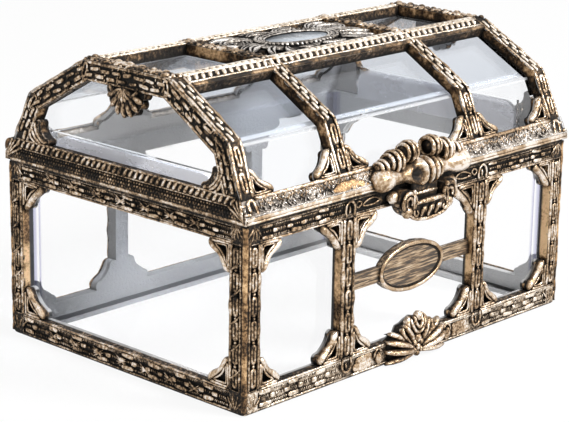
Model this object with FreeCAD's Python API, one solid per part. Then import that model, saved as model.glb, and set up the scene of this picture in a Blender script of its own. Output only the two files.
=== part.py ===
import FreeCAD, Part
import math
import os

V = FreeCAD.Vector

# Overall size in mm: origin under the middle of the box, front towards -Y
length = 130.0
width = 90.0
height = 80.0
seam = 49.0

# Openwork walls
base_depth = 3.4
lid_depth = 3.0
rim_overhang = 0.6
seam_gap = 0.15
corner_round = 1.6
foot_round = 0.8
corner_face = 5.4
post_face = 4.7
post_share = 0.418
low_rail = 6.2
top_rail = 5.4
groove_depth = 0.5
groove_border = 0.9
ledge_wide = 3.0
ledge_thick = 1.4

# Lid outline
lip_tall = 2.0
lip_proud = 0.3
end_lean = 0.077
bend_share = 0.613
bend_half_share = 0.818
top_half_share = 0.353
lid_edge_round = 1.2
rim_share = 0.187
rib_face = 4.6
end_bar = 5.4
top_rail_slope = 4.2
top_rail_flat = 3.0
end_top_bar = 5.2

# Corner brackets
bracket_leg = 7.2
bracket_rise = 7.5
bracket_set_back = 0.4
bracket_hollow = 1.6
lid_bracket_share = 0.22
bite = 0.7

# Clear liners
liner_gap = 0.15
liner_wall = 1.6
liner_corner = 3.0
tab_share = 0.274
tab_half_share = 0.72
tab_inset = 0.3
tab_wall = 1.3
tab_corner = 4.0
tab_room = 0.8

# Hinge
knuckle_radius = 2.4
hinge_lift = 2.0
hinge_room = 0.4
hinge_inset = 3.5
knuckle_long = 5.8
knuckle_gap = 0.2
pin_radius = 1.0
pin_room = 0.06
lug_drop = 6.5

# Catch and ornaments
clasp_half = 19.0
clasp_lift = 2.4
clasp_ahead = 0.2
clasp_back = 1.3
lobe_large = 3.9
lobe_middle = 3.5
lobe_small = 2.6
lobe_sink = 0.6
tongue_half = 5.0
tongue_thick = 1.2
tongue_drop = 6.4
tongue_room = 0.4
slot_half = 6.0
cheek_wide = 1.5
lock_wall = 1.2
lock_drop = 10.0
lock_lip = 2.4
lock_floor = 1.2
lock_top_gap = 1.6
scroll_radius = 2.6
plaque_long = 26.0
plaque_tall = 13.5
plaque_thick = 2.6
plaque_rim = 1.1
plaque_sink = 0.6
strap_tall = 4.1
strap_thick = 1.7
shell_half = 14.0
shell_tall = 13.4
shell_foot = 0.5
shell_proud = 1.6
shell_hook = 2.0
medal_long_share = 0.57
medal_wide_share = 0.66
medal_ring = 3.0
medal_low = 0.2
wing_share = 0.265
arm_share = 0.2
fan_radius = 7.2

# Derived places
base_x = length / 2 - rim_overhang
base_y = width / 2 - rim_overhang
base_top = seam - seam_gap
in_x = base_x - base_depth
in_y = base_y - base_depth
post_x = base_x * post_share
lid_rise = height - seam
bend_z = seam + lid_rise * bend_share
foot_y = width / 2 - lip_proud
bend_y = width / 2 * bend_half_share
top_y = width / 2 * top_half_share
foot_x = length / 2 - lip_proud
rim_top = seam + lid_rise * rim_share
tab_top = seam + lid_rise * tab_share
tab_half = in_y * tab_half_share
lip_top = seam + lip_tall
lip_fade = lip_top + lip_tall * 0.45
slant = math.hypot(1, end_lean)
span_x = post_x - post_face / 2
span_y = top_y - top_rail_flat
hinge_y = width / 2 + hinge_room + knuckle_radius
hinge_z = seam + hinge_lift
clasp_y = -(width / 2 + clasp_ahead)
clasp_z = seam + clasp_lift
tongue_y = -(width / 2 + tongue_room + 0.3)
base_bracket = (base_depth, bracket_leg, bracket_rise)
lid_bracket = (lid_depth, bracket_leg, lid_rise * lid_bracket_share)


def polygon(points):
    return Part.Face(Part.makePolygon(list(points) + [points[0]]))


def prism_x(points, x0, x1):
    return polygon([V(x0, y, z) for y, z in points]).extrude(V(x1 - x0, 0, 0))


def prism_y(points, y0, y1):
    return polygon([V(x, y0, z) for x, z in points]).extrude(V(0, y1 - y0, 0))


def prism_z(points, z0, z1):
    return polygon([V(x, y, z0) for x, y in points]).extrude(V(0, 0, z1 - z0))


def block(x0, x1, y0, y1, z0, z1):
    return Part.makeBox(x1 - x0, y1 - y0, z1 - z0, V(x0, y0, z0))


def half_turn(shape):
    turned = shape.copy()
    turned.rotate(V(0, 0, 0), V(0, 0, 1), 180)
    return turned


def one_solid(shape):
    shape = shape.removeSplitter()
    return max(shape.Solids, key=lambda s: s.Volume)


def faces_solid(faces):
    return Part.Solid(Part.Shell(faces))


def bracket(corner, along, up, out, depth, leg, rise):
    """Leaf gusset in a window corner: two lobes, a waist and a hollow middle."""

    def at(p, q, d):
        return corner + along * (p * leg) + up * (q * rise) + out * d

    def face(d, points, arcs):
        edges = []
        here = at(points[0][0], points[0][1], d)
        for (p, q), middle in zip(points[1:] + points[:1], arcs):
            there = at(p, q, d)
            if middle:
                edges.append(Part.Arc(here, at(middle[0], middle[1], d), there).toShape())
            else:
                edges.append(Part.makeLine(here, there))
            here = there
        return Part.Face(Part.Wire(edges))

    p0 = -bite / leg
    q0 = -bite / rise
    outline = [(p0, q0), (1, q0), (1, 0.03), (0.82, 0.34), (0.33, 0.83), (0.03, 1), (p0, 1)]
    bulges = [None, None, (1.03, 0.22), (0.53, 0.54), (0.21, 1.015), None, None]
    plate = face(-bracket_set_back, outline, bulges).extrude(out * (bracket_set_back - depth))
    inner = [(0.1, 0.12), (0.73, 0.12), (0.68, 0.23), (0.22, 0.69), (0.1, 0.74)]
    dents = [None, (0.78, 0.2), (0.38, 0.39), (0.18, 0.77), None]
    hollow = face(depth, inner, dents).extrude(out * -(depth + bracket_set_back + bracket_hollow))
    return plate, hollow


def add_brackets(wall, corners):
    plates = []
    hollows = []
    for corner in corners:
        plate, hollow = bracket(*corner)
        plates.append(plate)
        hollows.append(hollow)
    return wall.fuse(plates).cut(hollows)


def fan(centre, across, down, out, thick, radius, stretch, petals, reach=math.pi):
    """Scalloped fan of petals about a centre, as a flat plate."""
    start = (math.pi - reach) / 2

    def at(angle, r):
        return centre + across * (r * math.cos(angle)) + down * (r * stretch * math.sin(angle))

    edges = []
    step = reach / petals
    for k in range(petals):
        a0 = start + k * step
        ends = (at(a0, radius * 0.84), at(a0 + step, radius * 0.84))
        edges.append(Part.Arc(ends[0], at(a0 + step / 2, radius), ends[1]).toShape())
    first = edges[0].valueAt(edges[0].FirstParameter)
    last = edges[-1].valueAt(edges[-1].LastParameter)
    edges.append(Part.makeLine(last, centre))
    edges.append(Part.makeLine(centre, first))
    if reach == math.pi:
        edges[-2:] = [Part.makeLine(last, first)]
    return Part.Face(Part.Wire(edges)).extrude(out * thick)


def window_spans(edge):
    """Left to right extents of the three windows between the posts."""
    return [(-edge, -post_x - post_face / 2), (-span_x, span_x), (post_x + post_face / 2, edge)]


def uprights(shape):
    return [e for e in shape.Edges if abs(e.Vertexes[0].Z - e.Vertexes[1].Z) > 1]


def base_ring():
    outer = block(-base_x, base_x, -base_y, base_y, 0, base_top)
    outer = outer.makeFillet(corner_round, uprights(outer))
    low = [e for e in outer.Edges if e.BoundBox.ZMax < 0.01]
    outer = outer.makeFillet(foot_round, low)
    well = block(-in_x, in_x, -in_y, in_y, ledge_thick, seam + 1)
    hole_x = in_x - ledge_wide
    hole_y = in_y - ledge_wide
    return outer.cut([well, block(-hole_x, hole_x, -hole_y, hole_y, -1, seam)])


def front_wall(ring):
    deep = base_depth + ledge_wide + 2
    wedge = prism_z(
        [
            (-base_x - 1, -base_y - 1),
            (base_x + 1, -base_y - 1),
            (base_x - deep, -base_y + deep),
            (-base_x + deep, -base_y + deep),
        ],
        -1,
        seam + 1,
    )
    wall = ring.common(wedge)
    z0 = low_rail
    z1 = seam - top_rail
    half_post = post_face / 2
    edge = base_x - corner_face
    spans = window_spans(edge)
    cuts = [block(x0, x1, -base_y - 1, -in_y + 0.5, z0, z1) for x0, x1 in spans]
    sunk = -base_y + groove_depth
    run = edge + 0.6
    cuts.append(block(-run, run, -base_y - 1, sunk, z1 + groove_border, base_top - groove_border))
    cuts.append(block(-run, run, -base_y - 1, sunk, groove_border, z0 - groove_border))
    for x in (-post_x, post_x):
        reach = half_post - groove_border
        cuts.append(block(x - reach, x + reach, -base_y - 1, sunk, z0, z1))
    for side in (-1, 1):
        x = side * (base_x - corner_face / 2 - corner_round / 4)
        reach = corner_face / 2 - groove_border - corner_round / 3
        cuts.append(block(x - reach, x + reach, -base_y - 1, sunk, z0, z1))
    wall = wall.cut(cuts)
    out = V(0, -1, 0)
    corners = []
    for x0, x1 in spans:
        for x, side in ((x0, 1), (x1, -1)):
            for z, rise in ((z0, 1), (z1, -1)):
                corners.append((V(x, -base_y, z), V(side, 0, 0), V(0, 0, rise), out) + base_bracket)
    return add_brackets(wall, corners)


def left_wall(ring):
    deep = base_depth + ledge_wide + 2
    wedge = prism_z(
        [
            (-base_x - 1, -base_y - 1),
            (-base_x + deep, -base_y + deep),
            (-base_x + deep, base_y - deep),
            (-base_x - 1, base_y + 1),
        ],
        -1,
        seam + 1,
    )
    wall = ring.common(wedge)
    z0 = low_rail
    z1 = seam - top_rail
    edge = base_y - corner_face
    sunk = -base_x + groove_depth
    run = edge + 0.6
    cuts = [
        block(-base_x - 1, -in_x + 0.5, -edge, edge, z0, z1),
        block(-base_x - 1, sunk, -run, run, z1 + groove_border, base_top - groove_border),
        block(-base_x - 1, sunk, -run, run, groove_border, z0 - groove_border),
    ]
    for side in (-1, 1):
        y = side * (base_y - corner_face / 2 - corner_round / 4)
        reach = corner_face / 2 - groove_border - corner_round / 3
        cuts.append(block(-base_x - 1, sunk, y - reach, y + reach, z0, z1))
    wall = wall.cut(cuts)
    corners = []
    for y, side in ((-edge, 1), (edge, -1)):
        for z, rise in ((z0, 1), (z1, -1)):
            corner = V(-base_x, y, z)
            corners.append((corner, V(0, side, 0), V(0, 0, rise), V(-1, 0, 0)) + base_bracket)
    return add_brackets(wall, corners)


def knuckles(places, profile):
    """Barrel lengths with their lugs, bored for the pin."""
    barrels = []
    for x0, x1 in places:
        barrel = Part.makeCylinder(knuckle_radius, x1 - x0, V(x0, hinge_y, hinge_z), V(1, 0, 0))
        barrels.append(prism_x(profile, x0, x1).fuse(barrel))
    return barrels


def hinge_places():
    start = -base_x + hinge_inset
    fixed = []
    moving = []
    for side in (0, 1):
        for k in range(3):
            x0 = start + k * (knuckle_long + knuckle_gap)
            span = (x0, x0 + knuckle_long)
            if side:
                span = (-span[1], -span[0])
            (moving if k == 1 else fixed).append(span)
    return fixed, moving


def hinge_bore(radius):
    return Part.makeCylinder(radius, length, V(-length / 2, hinge_y, hinge_z), V(1, 0, 0))


def fixed_lug():
    near = hinge_y - knuckle_radius
    far = hinge_y + knuckle_radius
    return [
        (base_y - 1, base_top),
        (near, base_top),
        (near, hinge_z),
        (far, hinge_z),
        (far - 0.6, hinge_z - 1.8),
        (base_y, base_top - lug_drop),
        (base_y - 1, base_top - lug_drop),
    ]


def moving_lug():
    z1 = rim_top - 0.4
    low = seam + 0.3
    return [
        (lid_y(z1) - 0.6, z1),
        (hinge_y, hinge_z + knuckle_radius),
        (hinge_y + 0.01, hinge_z),
        (hinge_y - knuckle_radius * 0.7, low),
        (lid_y(low) - 0.6, low),
    ]


def base_liner():
    x = in_x - liner_gap
    y = in_y - liner_gap
    outer = block(-x, x, -y, y, ledge_thick, base_top - 0.2)
    outer = outer.makeFillet(liner_corner, uprights(outer))
    x_in = x - liner_wall
    y_in = y - liner_wall
    inner = block(-x_in, x_in, -y_in, y_in, ledge_thick + liner_wall, seam + 1)
    inner = inner.makeFillet(liner_corner - liner_wall, uprights(inner))
    tub = outer.cut(inner)
    tabs = []
    low = base_top - 4
    high = tab_top
    for side in (-1, 1):
        x1 = side * (x - tab_inset)
        x0 = x1 - side * tab_wall
        tab = block(min(x0, x1), max(x0, x1), -tab_half, tab_half, low, high)
        across = [e for e in tab.Edges if abs(e.Vertexes[0].X - e.Vertexes[1].X) > 0.1]
        tabs.append(tab.makeFillet(tab_corner, [e for e in across if e.BoundBox.ZMin > high - 0.01]))
    return tub.fuse(tabs)


def offset_arch(inset):
    """Half outline of the lid, shifted inwards: foot, bend and top corner as (y, z)."""
    d1 = math.hypot(foot_y - bend_y, bend_z - seam)
    n1 = ((bend_z - seam) / d1, (foot_y - bend_y) / d1)
    d2 = math.hypot(bend_y - top_y, height - bend_z)
    n2 = ((height - bend_z) / d2, (bend_y - top_y) / d2)
    c1 = n1[0] * foot_y + n1[1] * seam - inset
    c2 = n2[0] * bend_y + n2[1] * bend_z - inset
    top = height - inset
    turn = n1[0] * n2[1] - n1[1] * n2[0]
    foot = ((c1 - n1[1] * seam) / n1[0], seam)
    bend = ((c1 * n2[1] - c2 * n1[1]) / turn, (n1[0] * c2 - n2[0] * c1) / turn)
    crown = ((c2 - n2[1] * top) / n2[0], top)
    return foot, bend, crown, n1, n2


def lid_y(z):
    """Half width of the lid wall at a height below the bend."""
    return foot_y + (bend_y - foot_y) * (z - seam) / (bend_z - seam)


def end_x(z, inset=0.0):
    return foot_x - inset * slant - end_lean * (z - seam)


def arch_points(inset):
    foot, bend, crown, n1, n2 = offset_arch(inset)
    right = [foot, bend, crown]
    return [(-y, z) for y, z in right] + right[::-1]


def end_trapezoid(inset, z0, z1):
    x0 = end_x(z0, inset)
    x1 = end_x(z1, inset)
    return prism_y([(-x0, z0), (x0, z0), (x1, z1), (-x1, z1)], -width, width)


def lid_block(inset, foot_z=seam):
    arch = arch_points(inset)
    if foot_z < seam:
        arch = [(arch[0][0], foot_z)] + arch + [(arch[-1][0], foot_z)]
    shape = prism_x(arch, -length, length)
    return shape.common(end_trapezoid(inset, foot_z, height + 1))


def lid_outer():
    shape = lid_block(0.0)
    edges = []
    for e in shape.Edges:
        box = e.BoundBox
        at_end = box.ZMin < height and box.XMax - box.XMin < 6 and box.ZMax > seam + 0.1
        if at_end:
            edges.append(e)
    return shape.makeFillet(lid_edge_round, edges)


def end_plug():
    """Left end wall of the lid with its mitred sides."""
    outer = [V(-end_x(z), y, z) for y, z in arch_points(0.0)]
    inner = [V(-end_x(z, lid_depth), y, z) for y, z in arch_points(lid_depth)]
    faces = [polygon(outer), polygon(inner)]
    for k in range(len(outer)):
        n = (k + 1) % len(outer)
        faces.append(polygon([outer[k], outer[n], inner[n], inner[k]]))
    return faces_solid(faces)


def rim_lips():
    """Proud lower edge of the lid, front and back bars and end bars with mitred corners."""
    z1 = lip_top
    z2 = lip_fade
    hw = width / 2
    hl = length / 2
    bar_y = [(-hw, seam), (-hw, z1), (-lid_y(z2), z2), (-lid_y(z2) + 0.3, z2), (-foot_y + 0.9, seam)]
    bar_x = [(-hl, seam), (-hl, z1), (-end_x(z2), z2), (-end_x(z2) + 0.3, z2), (-foot_x + 0.3, seam)]
    deep = 4.0
    wedge_y = prism_z([(-hl, -hw), (hl, -hw), (hl - deep, -hw + deep), (-hl + deep, -hw + deep)], seam, z2)
    wedge_x = prism_z([(-hl, -hw), (-hl + deep, -hw + deep), (-hl + deep, hw - deep), (-hl, hw)], seam, z2)
    return prism_x(bar_y, -hl, hl).common(wedge_y), prism_y(bar_x, -hw, hw).common(wedge_x)


def lid_frames():
    outer = lid_outer()
    inner = lid_block(lid_depth, seam - 1)
    left = end_plug()
    lip_front, lip_left = rim_lips()
    shell = outer.cut(inner)
    cover = shell.cut([left, half_turn(left)])
    cover = cover.fuse([lip_front, half_turn(lip_front)])
    left = left.common(outer).fuse(lip_left)
    left = left.cut(cover)
    foot, bend, crown, n1, n2 = offset_arch(0.0)
    d1 = (-n1[1], n1[0])
    d2 = (-n2[1], n2[0])
    low = (lid_y(rim_top), rim_top)
    high = (crown[0] - d2[0] * top_rail_slope, crown[1] - d2[1] * top_rail_slope)
    past = lid_depth + 2.0
    bend_out = offset_arch(-past)[1]
    bend_in = offset_arch(past)[1]
    band = [
        (low[0] + n1[0] * past, low[1] + n1[1] * past),
        bend_out,
        (high[0] + n2[0] * past, high[1] + n2[1] * past),
        (high[0] - n2[0] * past, high[1] - n2[1] * past),
        bend_in,
        (low[0] - n1[0] * past, low[1] - n1[1] * past),
    ]
    front_band = [(-y, z) for y, z in band]
    half_post = post_face / 2
    room = end_trapezoid(rib_face, seam, height + 10)
    spans = window_spans(length)
    flat = top_y - top_rail_flat
    cuts = []
    for x0, x1 in spans:
        for shape in (
            prism_x(front_band, x0, x1),
            prism_x(band, x0, x1),
            block(x0, x1, -flat, flat, height - past, height + 5),
        ):
            cuts.append(shape.common(room))
    sunk = groove_depth
    for x in (-post_x, post_x):
        reach = half_post - groove_border
        slab = block(x - reach, x + reach, -width, width, rim_top, height + 5)
        cuts.append(slab.cut(prism_x(arch_points(sunk), -length, length)))
    cover = cover.cut(cuts)
    corners = []
    for sign in (-1, 1):
        out = V(0, sign * n1[0], n1[1])
        up = V(0, sign * d1[0], d1[1])
        for x in (-end_x(rim_top, rib_face), -post_x + half_post, post_x + half_post):
            for side in (-1, 1):
                corner = V(side * x, sign * low[0], low[1])
                corners.append((corner, V(side, 0, 0), up, out) + lid_bracket)
    cover = add_brackets(cover, corners)

    lean = V(end_lean / slant, 0, 1 / slant)
    out = V(-1 / slant, 0, end_lean / slant)
    wfoot, wbend, wcrown, n1, n2 = offset_arch(end_bar)
    slope = (wbend[0] - wfoot[0]) / (wbend[1] - wfoot[1])
    wlow = (wfoot[0] + slope * (rim_top - seam), rim_top)
    wtop = height - end_top_bar
    rise = (wcrown[0] - wbend[0]) / (wcrown[1] - wbend[1])
    whigh = (wbend[0] + rise * (wtop - wbend[1]), wtop)
    half = [wlow, wbend, whigh]
    window = [(-y, z) for y, z in half] + half[::-1]
    left = left.cut(prism_x(window, -length, 0))
    sides = []
    for sign in (-1, 1):
        corner = V(-end_x(rim_top), sign * wlow[0], rim_top)
        up = V(end_lean, sign * slope, 1)
        up.normalize()
        sides.append((corner, V(0, -sign, 0), up, out) + lid_bracket)
    left = add_brackets(left, sides)
    hang = V(-end_x(wtop), 0, wtop) + lean * bite - out * bracket_set_back
    leaf = fan(hang, V(0, 1, 0), lean * -1, out, -(lid_depth - bracket_set_back), fan_radius, 1.08, 7)
    left = left.fuse(leaf)
    return cover, left


def lid_liner():
    skin = lid_depth + liner_gap
    clear = seam + 0.4
    shell = lid_block(skin).cut(lid_block(skin + liner_wall, seam - 1))
    shell = shell.cut(block(-length, length, -width, width, seam - 1, clear))
    side = tab_half + tab_room
    near = in_x - liner_gap - tab_inset - tab_wall - tab_room
    high = tab_top + tab_room
    return shell.cut([block(x, x + length, -side, side, seam - 1, high) for x in (-near - length, near)])


def catch_region():
    """Space in front of the lid wall and the base wall that the clasp may fill."""
    low = seam - lock_drop
    return prism_x(
        [
            (-width, low),
            (tongue_y, low),
            (tongue_y, seam),
            (-width / 2, seam),
            (-width / 2, lip_top),
            (-lid_y(lip_fade), lip_fade),
            (-lid_y(bend_z), bend_z),
            (-width, bend_z),
        ],
        -length / 2,
        length / 2,
    )


def lid_clasp():
    """Turned roll with end knobs and a swelling middle, leaf lobes above and the tongue below."""
    boss = hinge_y + knuckle_radius + clasp_y
    profile = [(0.0, 1.0), (0.16, 0.93), (0.33, 0.62), (0.5, 0.42)]
    profile += [(0.64, 0.44), (0.8, 0.6), (0.92, 0.52), (1.0, 0.12)]
    side = [V(clasp_half * s, clasp_y, clasp_z + boss * r) for s, r in profile]
    points = [V(-p.x, p.y, p.z) for p in side[:0:-1]] + side
    curve = Part.BSplineCurve()
    curve.interpolate(points)
    ends = [V(points[0].x, clasp_y, clasp_z), V(points[-1].x, clasp_y, clasp_z)]
    wire = Part.Wire(
        [
            Part.makeLine(ends[0], points[0]),
            curve.toShape(),
            Part.makeLine(points[-1], ends[1]),
            Part.makeLine(ends[1], ends[0]),
        ]
    )
    body = Part.Face(wire).revolve(V(0, clasp_y, clasp_z), V(1, 0, 0), 360)
    lobes = ((0.22, 0.194, lobe_large), (0.57, 0.119, lobe_middle), (0.84, 0.071, lobe_small))
    for share, lift, radius in lobes:
        z = clasp_z + lid_rise * lift
        for side in (-1, 1):
            body = body.fuse(Part.makeSphere(radius, V(side * share * clasp_half, -lid_y(z) + lobe_sink, z)))
    wide = 0.84 * clasp_half
    brow = clasp_z + lid_rise * lobes[2][1]
    crown = clasp_z + lid_rise * lobes[0][1]
    half = [(wide, seam), (wide, brow), (0.5 * wide, crown)]
    outline = half + [(-x, z) for x, z in half[::-1]]
    slope = [(-lid_y(seam) - clasp_back, seam), (-lid_y(bend_z) - clasp_back, bend_z), (0, bend_z), (0, seam)]
    backing = prism_y(outline, -width, 0).common(prism_x(slope, -length, length))
    low = seam - tongue_drop
    tongue = block(-tongue_half, tongue_half, tongue_y - tongue_thick, tongue_y, low, clasp_z)
    return body.fuse(backing).common(catch_region()).fuse(tongue)


def lock_plate():
    """Half moon on the base with a pocket behind its lip for the tongue."""
    back = -base_y
    pocket = tongue_y - tongue_thick - tongue_room
    face_y = pocket - lock_wall
    floor = seam - tongue_drop - tongue_room
    lip = floor + lock_lip
    reach = slot_half + cheek_wide
    low = seam - lock_drop
    half_wide = reach + scroll_radius * 1.3
    rim = Part.Ellipse(V(0, 0, 0), half_wide, lip - low)
    rim = Part.ArcOfEllipse(rim, math.pi, 2 * math.pi).toShape()
    chord = Part.makeLine(V(half_wide, 0, 0), V(-half_wide, 0, 0))
    half = Part.Face(Part.Wire([rim, chord])).extrude(V(0, 0, (back - face_y) * 0.88))
    half.rotate(V(0, 0, 0), V(1, 0, 0), 90)
    half.translate(V(0, back, lip))
    body = half.fuse(block(-reach, reach, face_y, back, floor - lock_floor, seam - lock_top_gap))
    scrolls = []
    for side in (-1, 1):
        centre = V(side * (reach + scroll_radius * 0.6), back, lip + scroll_radius * 0.35)
        scrolls.append(Part.makeCylinder(scroll_radius, (back - face_y) * 0.76, centre, V(0, -1, 0)))
    body = body.fuse(scrolls)
    slot = block(-slot_half, slot_half, pocket, tongue_y + tongue_room, floor, seam)
    window = block(-slot_half, slot_half, face_y - lock_wall, tongue_y, lip, seam)
    return body.cut([slot, window])


def name_plaque():
    back = -(in_y - liner_gap)
    middle = (low_rail + seam - top_rail) / 2

    def oval(a, b, y0, thick):
        disc = Part.Face(Part.Wire([Part.Ellipse(V(0, 0, 0), a, b).toShape()])).extrude(V(0, 0, thick))
        disc.rotate(V(0, 0, 0), V(1, 0, 0), 90)
        disc.translate(V(0, y0, middle))
        return disc

    plate = oval(plaque_long / 2, plaque_tall / 2, back, plaque_thick)
    front = back - plaque_thick + plaque_sink
    field = oval(plaque_long / 2 - plaque_rim, plaque_tall / 2 - plaque_rim, front, plaque_thick)
    strap = block(-span_x, span_x, back - strap_thick, back, middle - strap_tall / 2, middle + strap_tall / 2)
    return plate.fuse(strap).cut(field)


def base_shell():
    """Palmette over the middle of the bottom rail, hooked behind its upper edge."""
    front = V(0, -base_y - shell_proud, shell_foot)
    stretch = (shell_tall - shell_foot) / shell_half
    petals = fan(front, V(1, 0, 0), V(0, 0, 1), V(0, 1, 0), shell_proud + shell_hook, shell_half, stretch, 7)
    rail = block(-length, length, -base_y, 0, -1, low_rail)
    return petals.cut(rail)


def top_medallion():
    """Oval ring with scroll arms and leaf wings, resting on the clear top."""
    bed = height - lid_depth - liner_gap
    thick = lid_depth + liner_gap - medal_low
    long = span_x * medal_long_share
    wide = span_y * medal_wide_share
    arm = span_y * arm_share
    wing = span_x * wing_share

    def oval(a, b, tall):
        return Part.Face(Part.Wire([Part.Ellipse(V(0, 0, bed), a, b).toShape()])).extrude(V(0, 0, tall))

    ring = oval(long, wide, thick)
    wings = []
    for side in (-1, 1):
        root = V(side * long * 0.9, 0, bed)
        wings.append(fan(root, V(0, side, 0), V(side, 0, 0), V(0, 0, 1), thick * 0.8, wing, 1.1, 5))
        for end in (-1, 1):
            centre = V(side * long * 0.68, end * (wide + arm * 0.2), bed)
            wings.append(Part.makeCylinder(arm, thick * 0.86, centre))
    return ring.fuse(wings).cut(oval(long - medal_ring, wide - medal_ring, thick))


def build():
    ring = base_ring()
    front = front_wall(ring)
    left = left_wall(ring)
    fixed, moving = hinge_places()
    back = half_turn(front).fuse(knuckles(fixed, fixed_lug())).cut(hinge_bore(pin_radius + pin_room / 2))
    cover, lid_left = lid_frames()
    cover = cover.fuse(knuckles(moving, moving_lug())).cut(hinge_bore(pin_radius + pin_room))
    cover = cover.cut(lid_block(lid_depth, seam - 1))
    pin_long = 3 * knuckle_long
    pin_end = V(-base_x + hinge_inset + knuckle_gap, hinge_y, hinge_z)
    pin_left = Part.makeCylinder(pin_radius, pin_long, pin_end, V(1, 0, 0))
    pin_right = pin_left.mirror(V(0, 0, 0), V(1, 0, 0))
    return {
        "base_front_frame": front,
        "base_back_frame": back,
        "base_left_frame": left,
        "base_right_frame": half_turn(left),
        "base_liner": base_liner(),
        "name_plaque": name_plaque(),
        "base_shell": base_shell(),
        "lock_plate": lock_plate(),
        "hinge_pin_left": pin_left,
        "hinge_pin_right": pin_right,
        "lid_cover_frame": cover,
        "lid_left_frame": lid_left,
        "lid_right_frame": half_turn(lid_left),
        "lid_liner": lid_liner(),
        "lid_clasp": lid_clasp(),
        "top_medallion": top_medallion(),
    }


os.makedirs("parts", exist_ok=True)
for name, shape in build().items():
    solid = one_solid(shape)
    solid.exportStep("parts/" + name + ".step")
    print(name, round(solid.Volume, 1), solid.isValid(), len(shape.Solids))
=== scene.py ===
import math
import random
import bmesh
import bpy
from mathutils import Matrix, Vector, noise


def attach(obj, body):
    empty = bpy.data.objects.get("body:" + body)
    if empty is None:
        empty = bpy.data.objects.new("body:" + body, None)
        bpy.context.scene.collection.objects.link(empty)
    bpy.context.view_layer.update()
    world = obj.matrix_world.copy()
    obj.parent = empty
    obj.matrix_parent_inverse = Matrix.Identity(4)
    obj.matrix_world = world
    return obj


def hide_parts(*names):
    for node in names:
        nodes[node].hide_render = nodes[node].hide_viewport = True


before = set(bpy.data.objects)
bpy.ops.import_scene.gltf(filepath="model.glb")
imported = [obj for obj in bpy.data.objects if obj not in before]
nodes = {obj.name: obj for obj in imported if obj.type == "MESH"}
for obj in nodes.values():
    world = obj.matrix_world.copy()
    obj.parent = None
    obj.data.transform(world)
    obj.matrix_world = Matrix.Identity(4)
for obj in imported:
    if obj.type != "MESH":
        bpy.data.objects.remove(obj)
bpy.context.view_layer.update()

mm = 0.001
scene = bpy.context.scene
print("frame loaded", len(nodes), "nodes")


# places on the chest, in millimetres: along, up and outwards from each face
def facePlace(origin, along, up):
    along = Vector(along).normalized()
    up = Vector(up).normalized()
    place = Matrix((along, up, along.cross(up))).transposed().to_4x4()
    place.translation = Vector(origin)
    return Matrix.Scale(mm, 4) @ place


chest = {"baseX": 64.4, "baseY": 44.4, "postX": 26.92, "seam": 49.0, "footX": 64.7, "footY": 44.7,
         "bendY": 36.81, "bendZ": 68.0, "topY": 15.885, "topZ": 80.0, "lean": 0.077}
steepRun = (0, chest["footY"] - chest["bendY"], chest["bendZ"] - chest["seam"])
slopeRun = (0, chest["bendY"] - chest["topY"], chest["topZ"] - chest["bendZ"])
steepLong = Vector(steepRun).length
slopeLong = Vector(slopeRun).length
frontFace = facePlace((0, -chest["baseY"], 0), (1, 0, 0), (0, 0, 1))
leftFace = facePlace((-chest["baseX"], 0, 0), (0, -1, 0), (0, 0, 1))
steepFace = facePlace((0, -chest["footY"], chest["seam"]), (1, 0, 0), steepRun)
slopeFace = facePlace((0, -chest["bendY"], chest["bendZ"]), (1, 0, 0), slopeRun)
topFace = facePlace((0, 0, chest["topZ"]), (1, 0, 0), (0, 1, 0))
lidEndFace = facePlace((-chest["footX"], 0, chest["seam"]), (0, -1, 0), (chest["lean"], 0, 1))
halfTurn = Matrix.Rotation(math.pi, 4, "Z")  # front to back, left to right
bothSides = (Matrix(), halfTurn)
basePosts = (-chest["postX"], chest["postX"])


# shader helpers
def newMaterial(name):
    made = bpy.data.materials.new(name)
    made.use_nodes = True
    return made, made.node_tree, made.node_tree.nodes["Principled BSDF"]


def feed(tree, socket, value):
    if isinstance(value, bpy.types.NodeSocket):
        tree.links.new(value, socket)
    else:
        socket.default_value = value


def surface(tree):
    coords = tree.nodes.new("ShaderNodeTexCoord")
    return coords.outputs["Object"], coords.outputs["Normal"]


def axes(tree, vector):
    node = tree.nodes.new("ShaderNodeSeparateXYZ")
    tree.links.new(vector, node.inputs[0])
    return node.outputs


def sums(tree, kind, a, b=0.0, clamp=False):
    node = tree.nodes.new("ShaderNodeMath")
    node.operation = kind
    node.use_clamp = clamp
    feed(tree, node.inputs[0], a)
    feed(tree, node.inputs[1], b)
    return node.outputs[0]


def plus(tree, a, b):
    return sums(tree, "ADD", a, b)


def minus(tree, a, b):
    return sums(tree, "SUBTRACT", a, b)


def times(tree, a, b):
    return sums(tree, "MULTIPLY", a, b)


def vectorMath(tree, kind, *values):
    node = tree.nodes.new("ShaderNodeVectorMath")
    node.operation = kind
    for socket, value in zip(node.inputs, values):
        feed(tree, socket, value)
    return node.outputs


def dotted(tree, a, b):
    return vectorMath(tree, "DOT_PRODUCT", a, b)["Value"]


def spread(tree, value, low, high, toLow=0.0, toHigh=1.0):
    node = tree.nodes.new("ShaderNodeMapRange")
    node.interpolation_type = "SMOOTHSTEP"
    feed(tree, node.inputs["Value"], value)
    for name, number in zip(("From Min", "From Max", "To Min", "To Max"), (low, high, toLow, toHigh)):
        node.inputs[name].default_value = number
    return node.outputs["Result"]


def grain(tree, coords, scale, detail=3.0, rough=0.55, stretch=None):
    if stretch:
        turned = tree.nodes.new("ShaderNodeMapping")
        turned.inputs["Scale"].default_value = stretch
        tree.links.new(coords, turned.inputs["Vector"])
        coords = turned.outputs["Vector"]
    node = tree.nodes.new("ShaderNodeTexNoise")
    node.inputs["Scale"].default_value = scale
    node.inputs["Detail"].default_value = detail
    node.inputs["Roughness"].default_value = rough
    tree.links.new(coords, node.inputs["Vector"])
    return node.outputs["Fac"]


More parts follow.
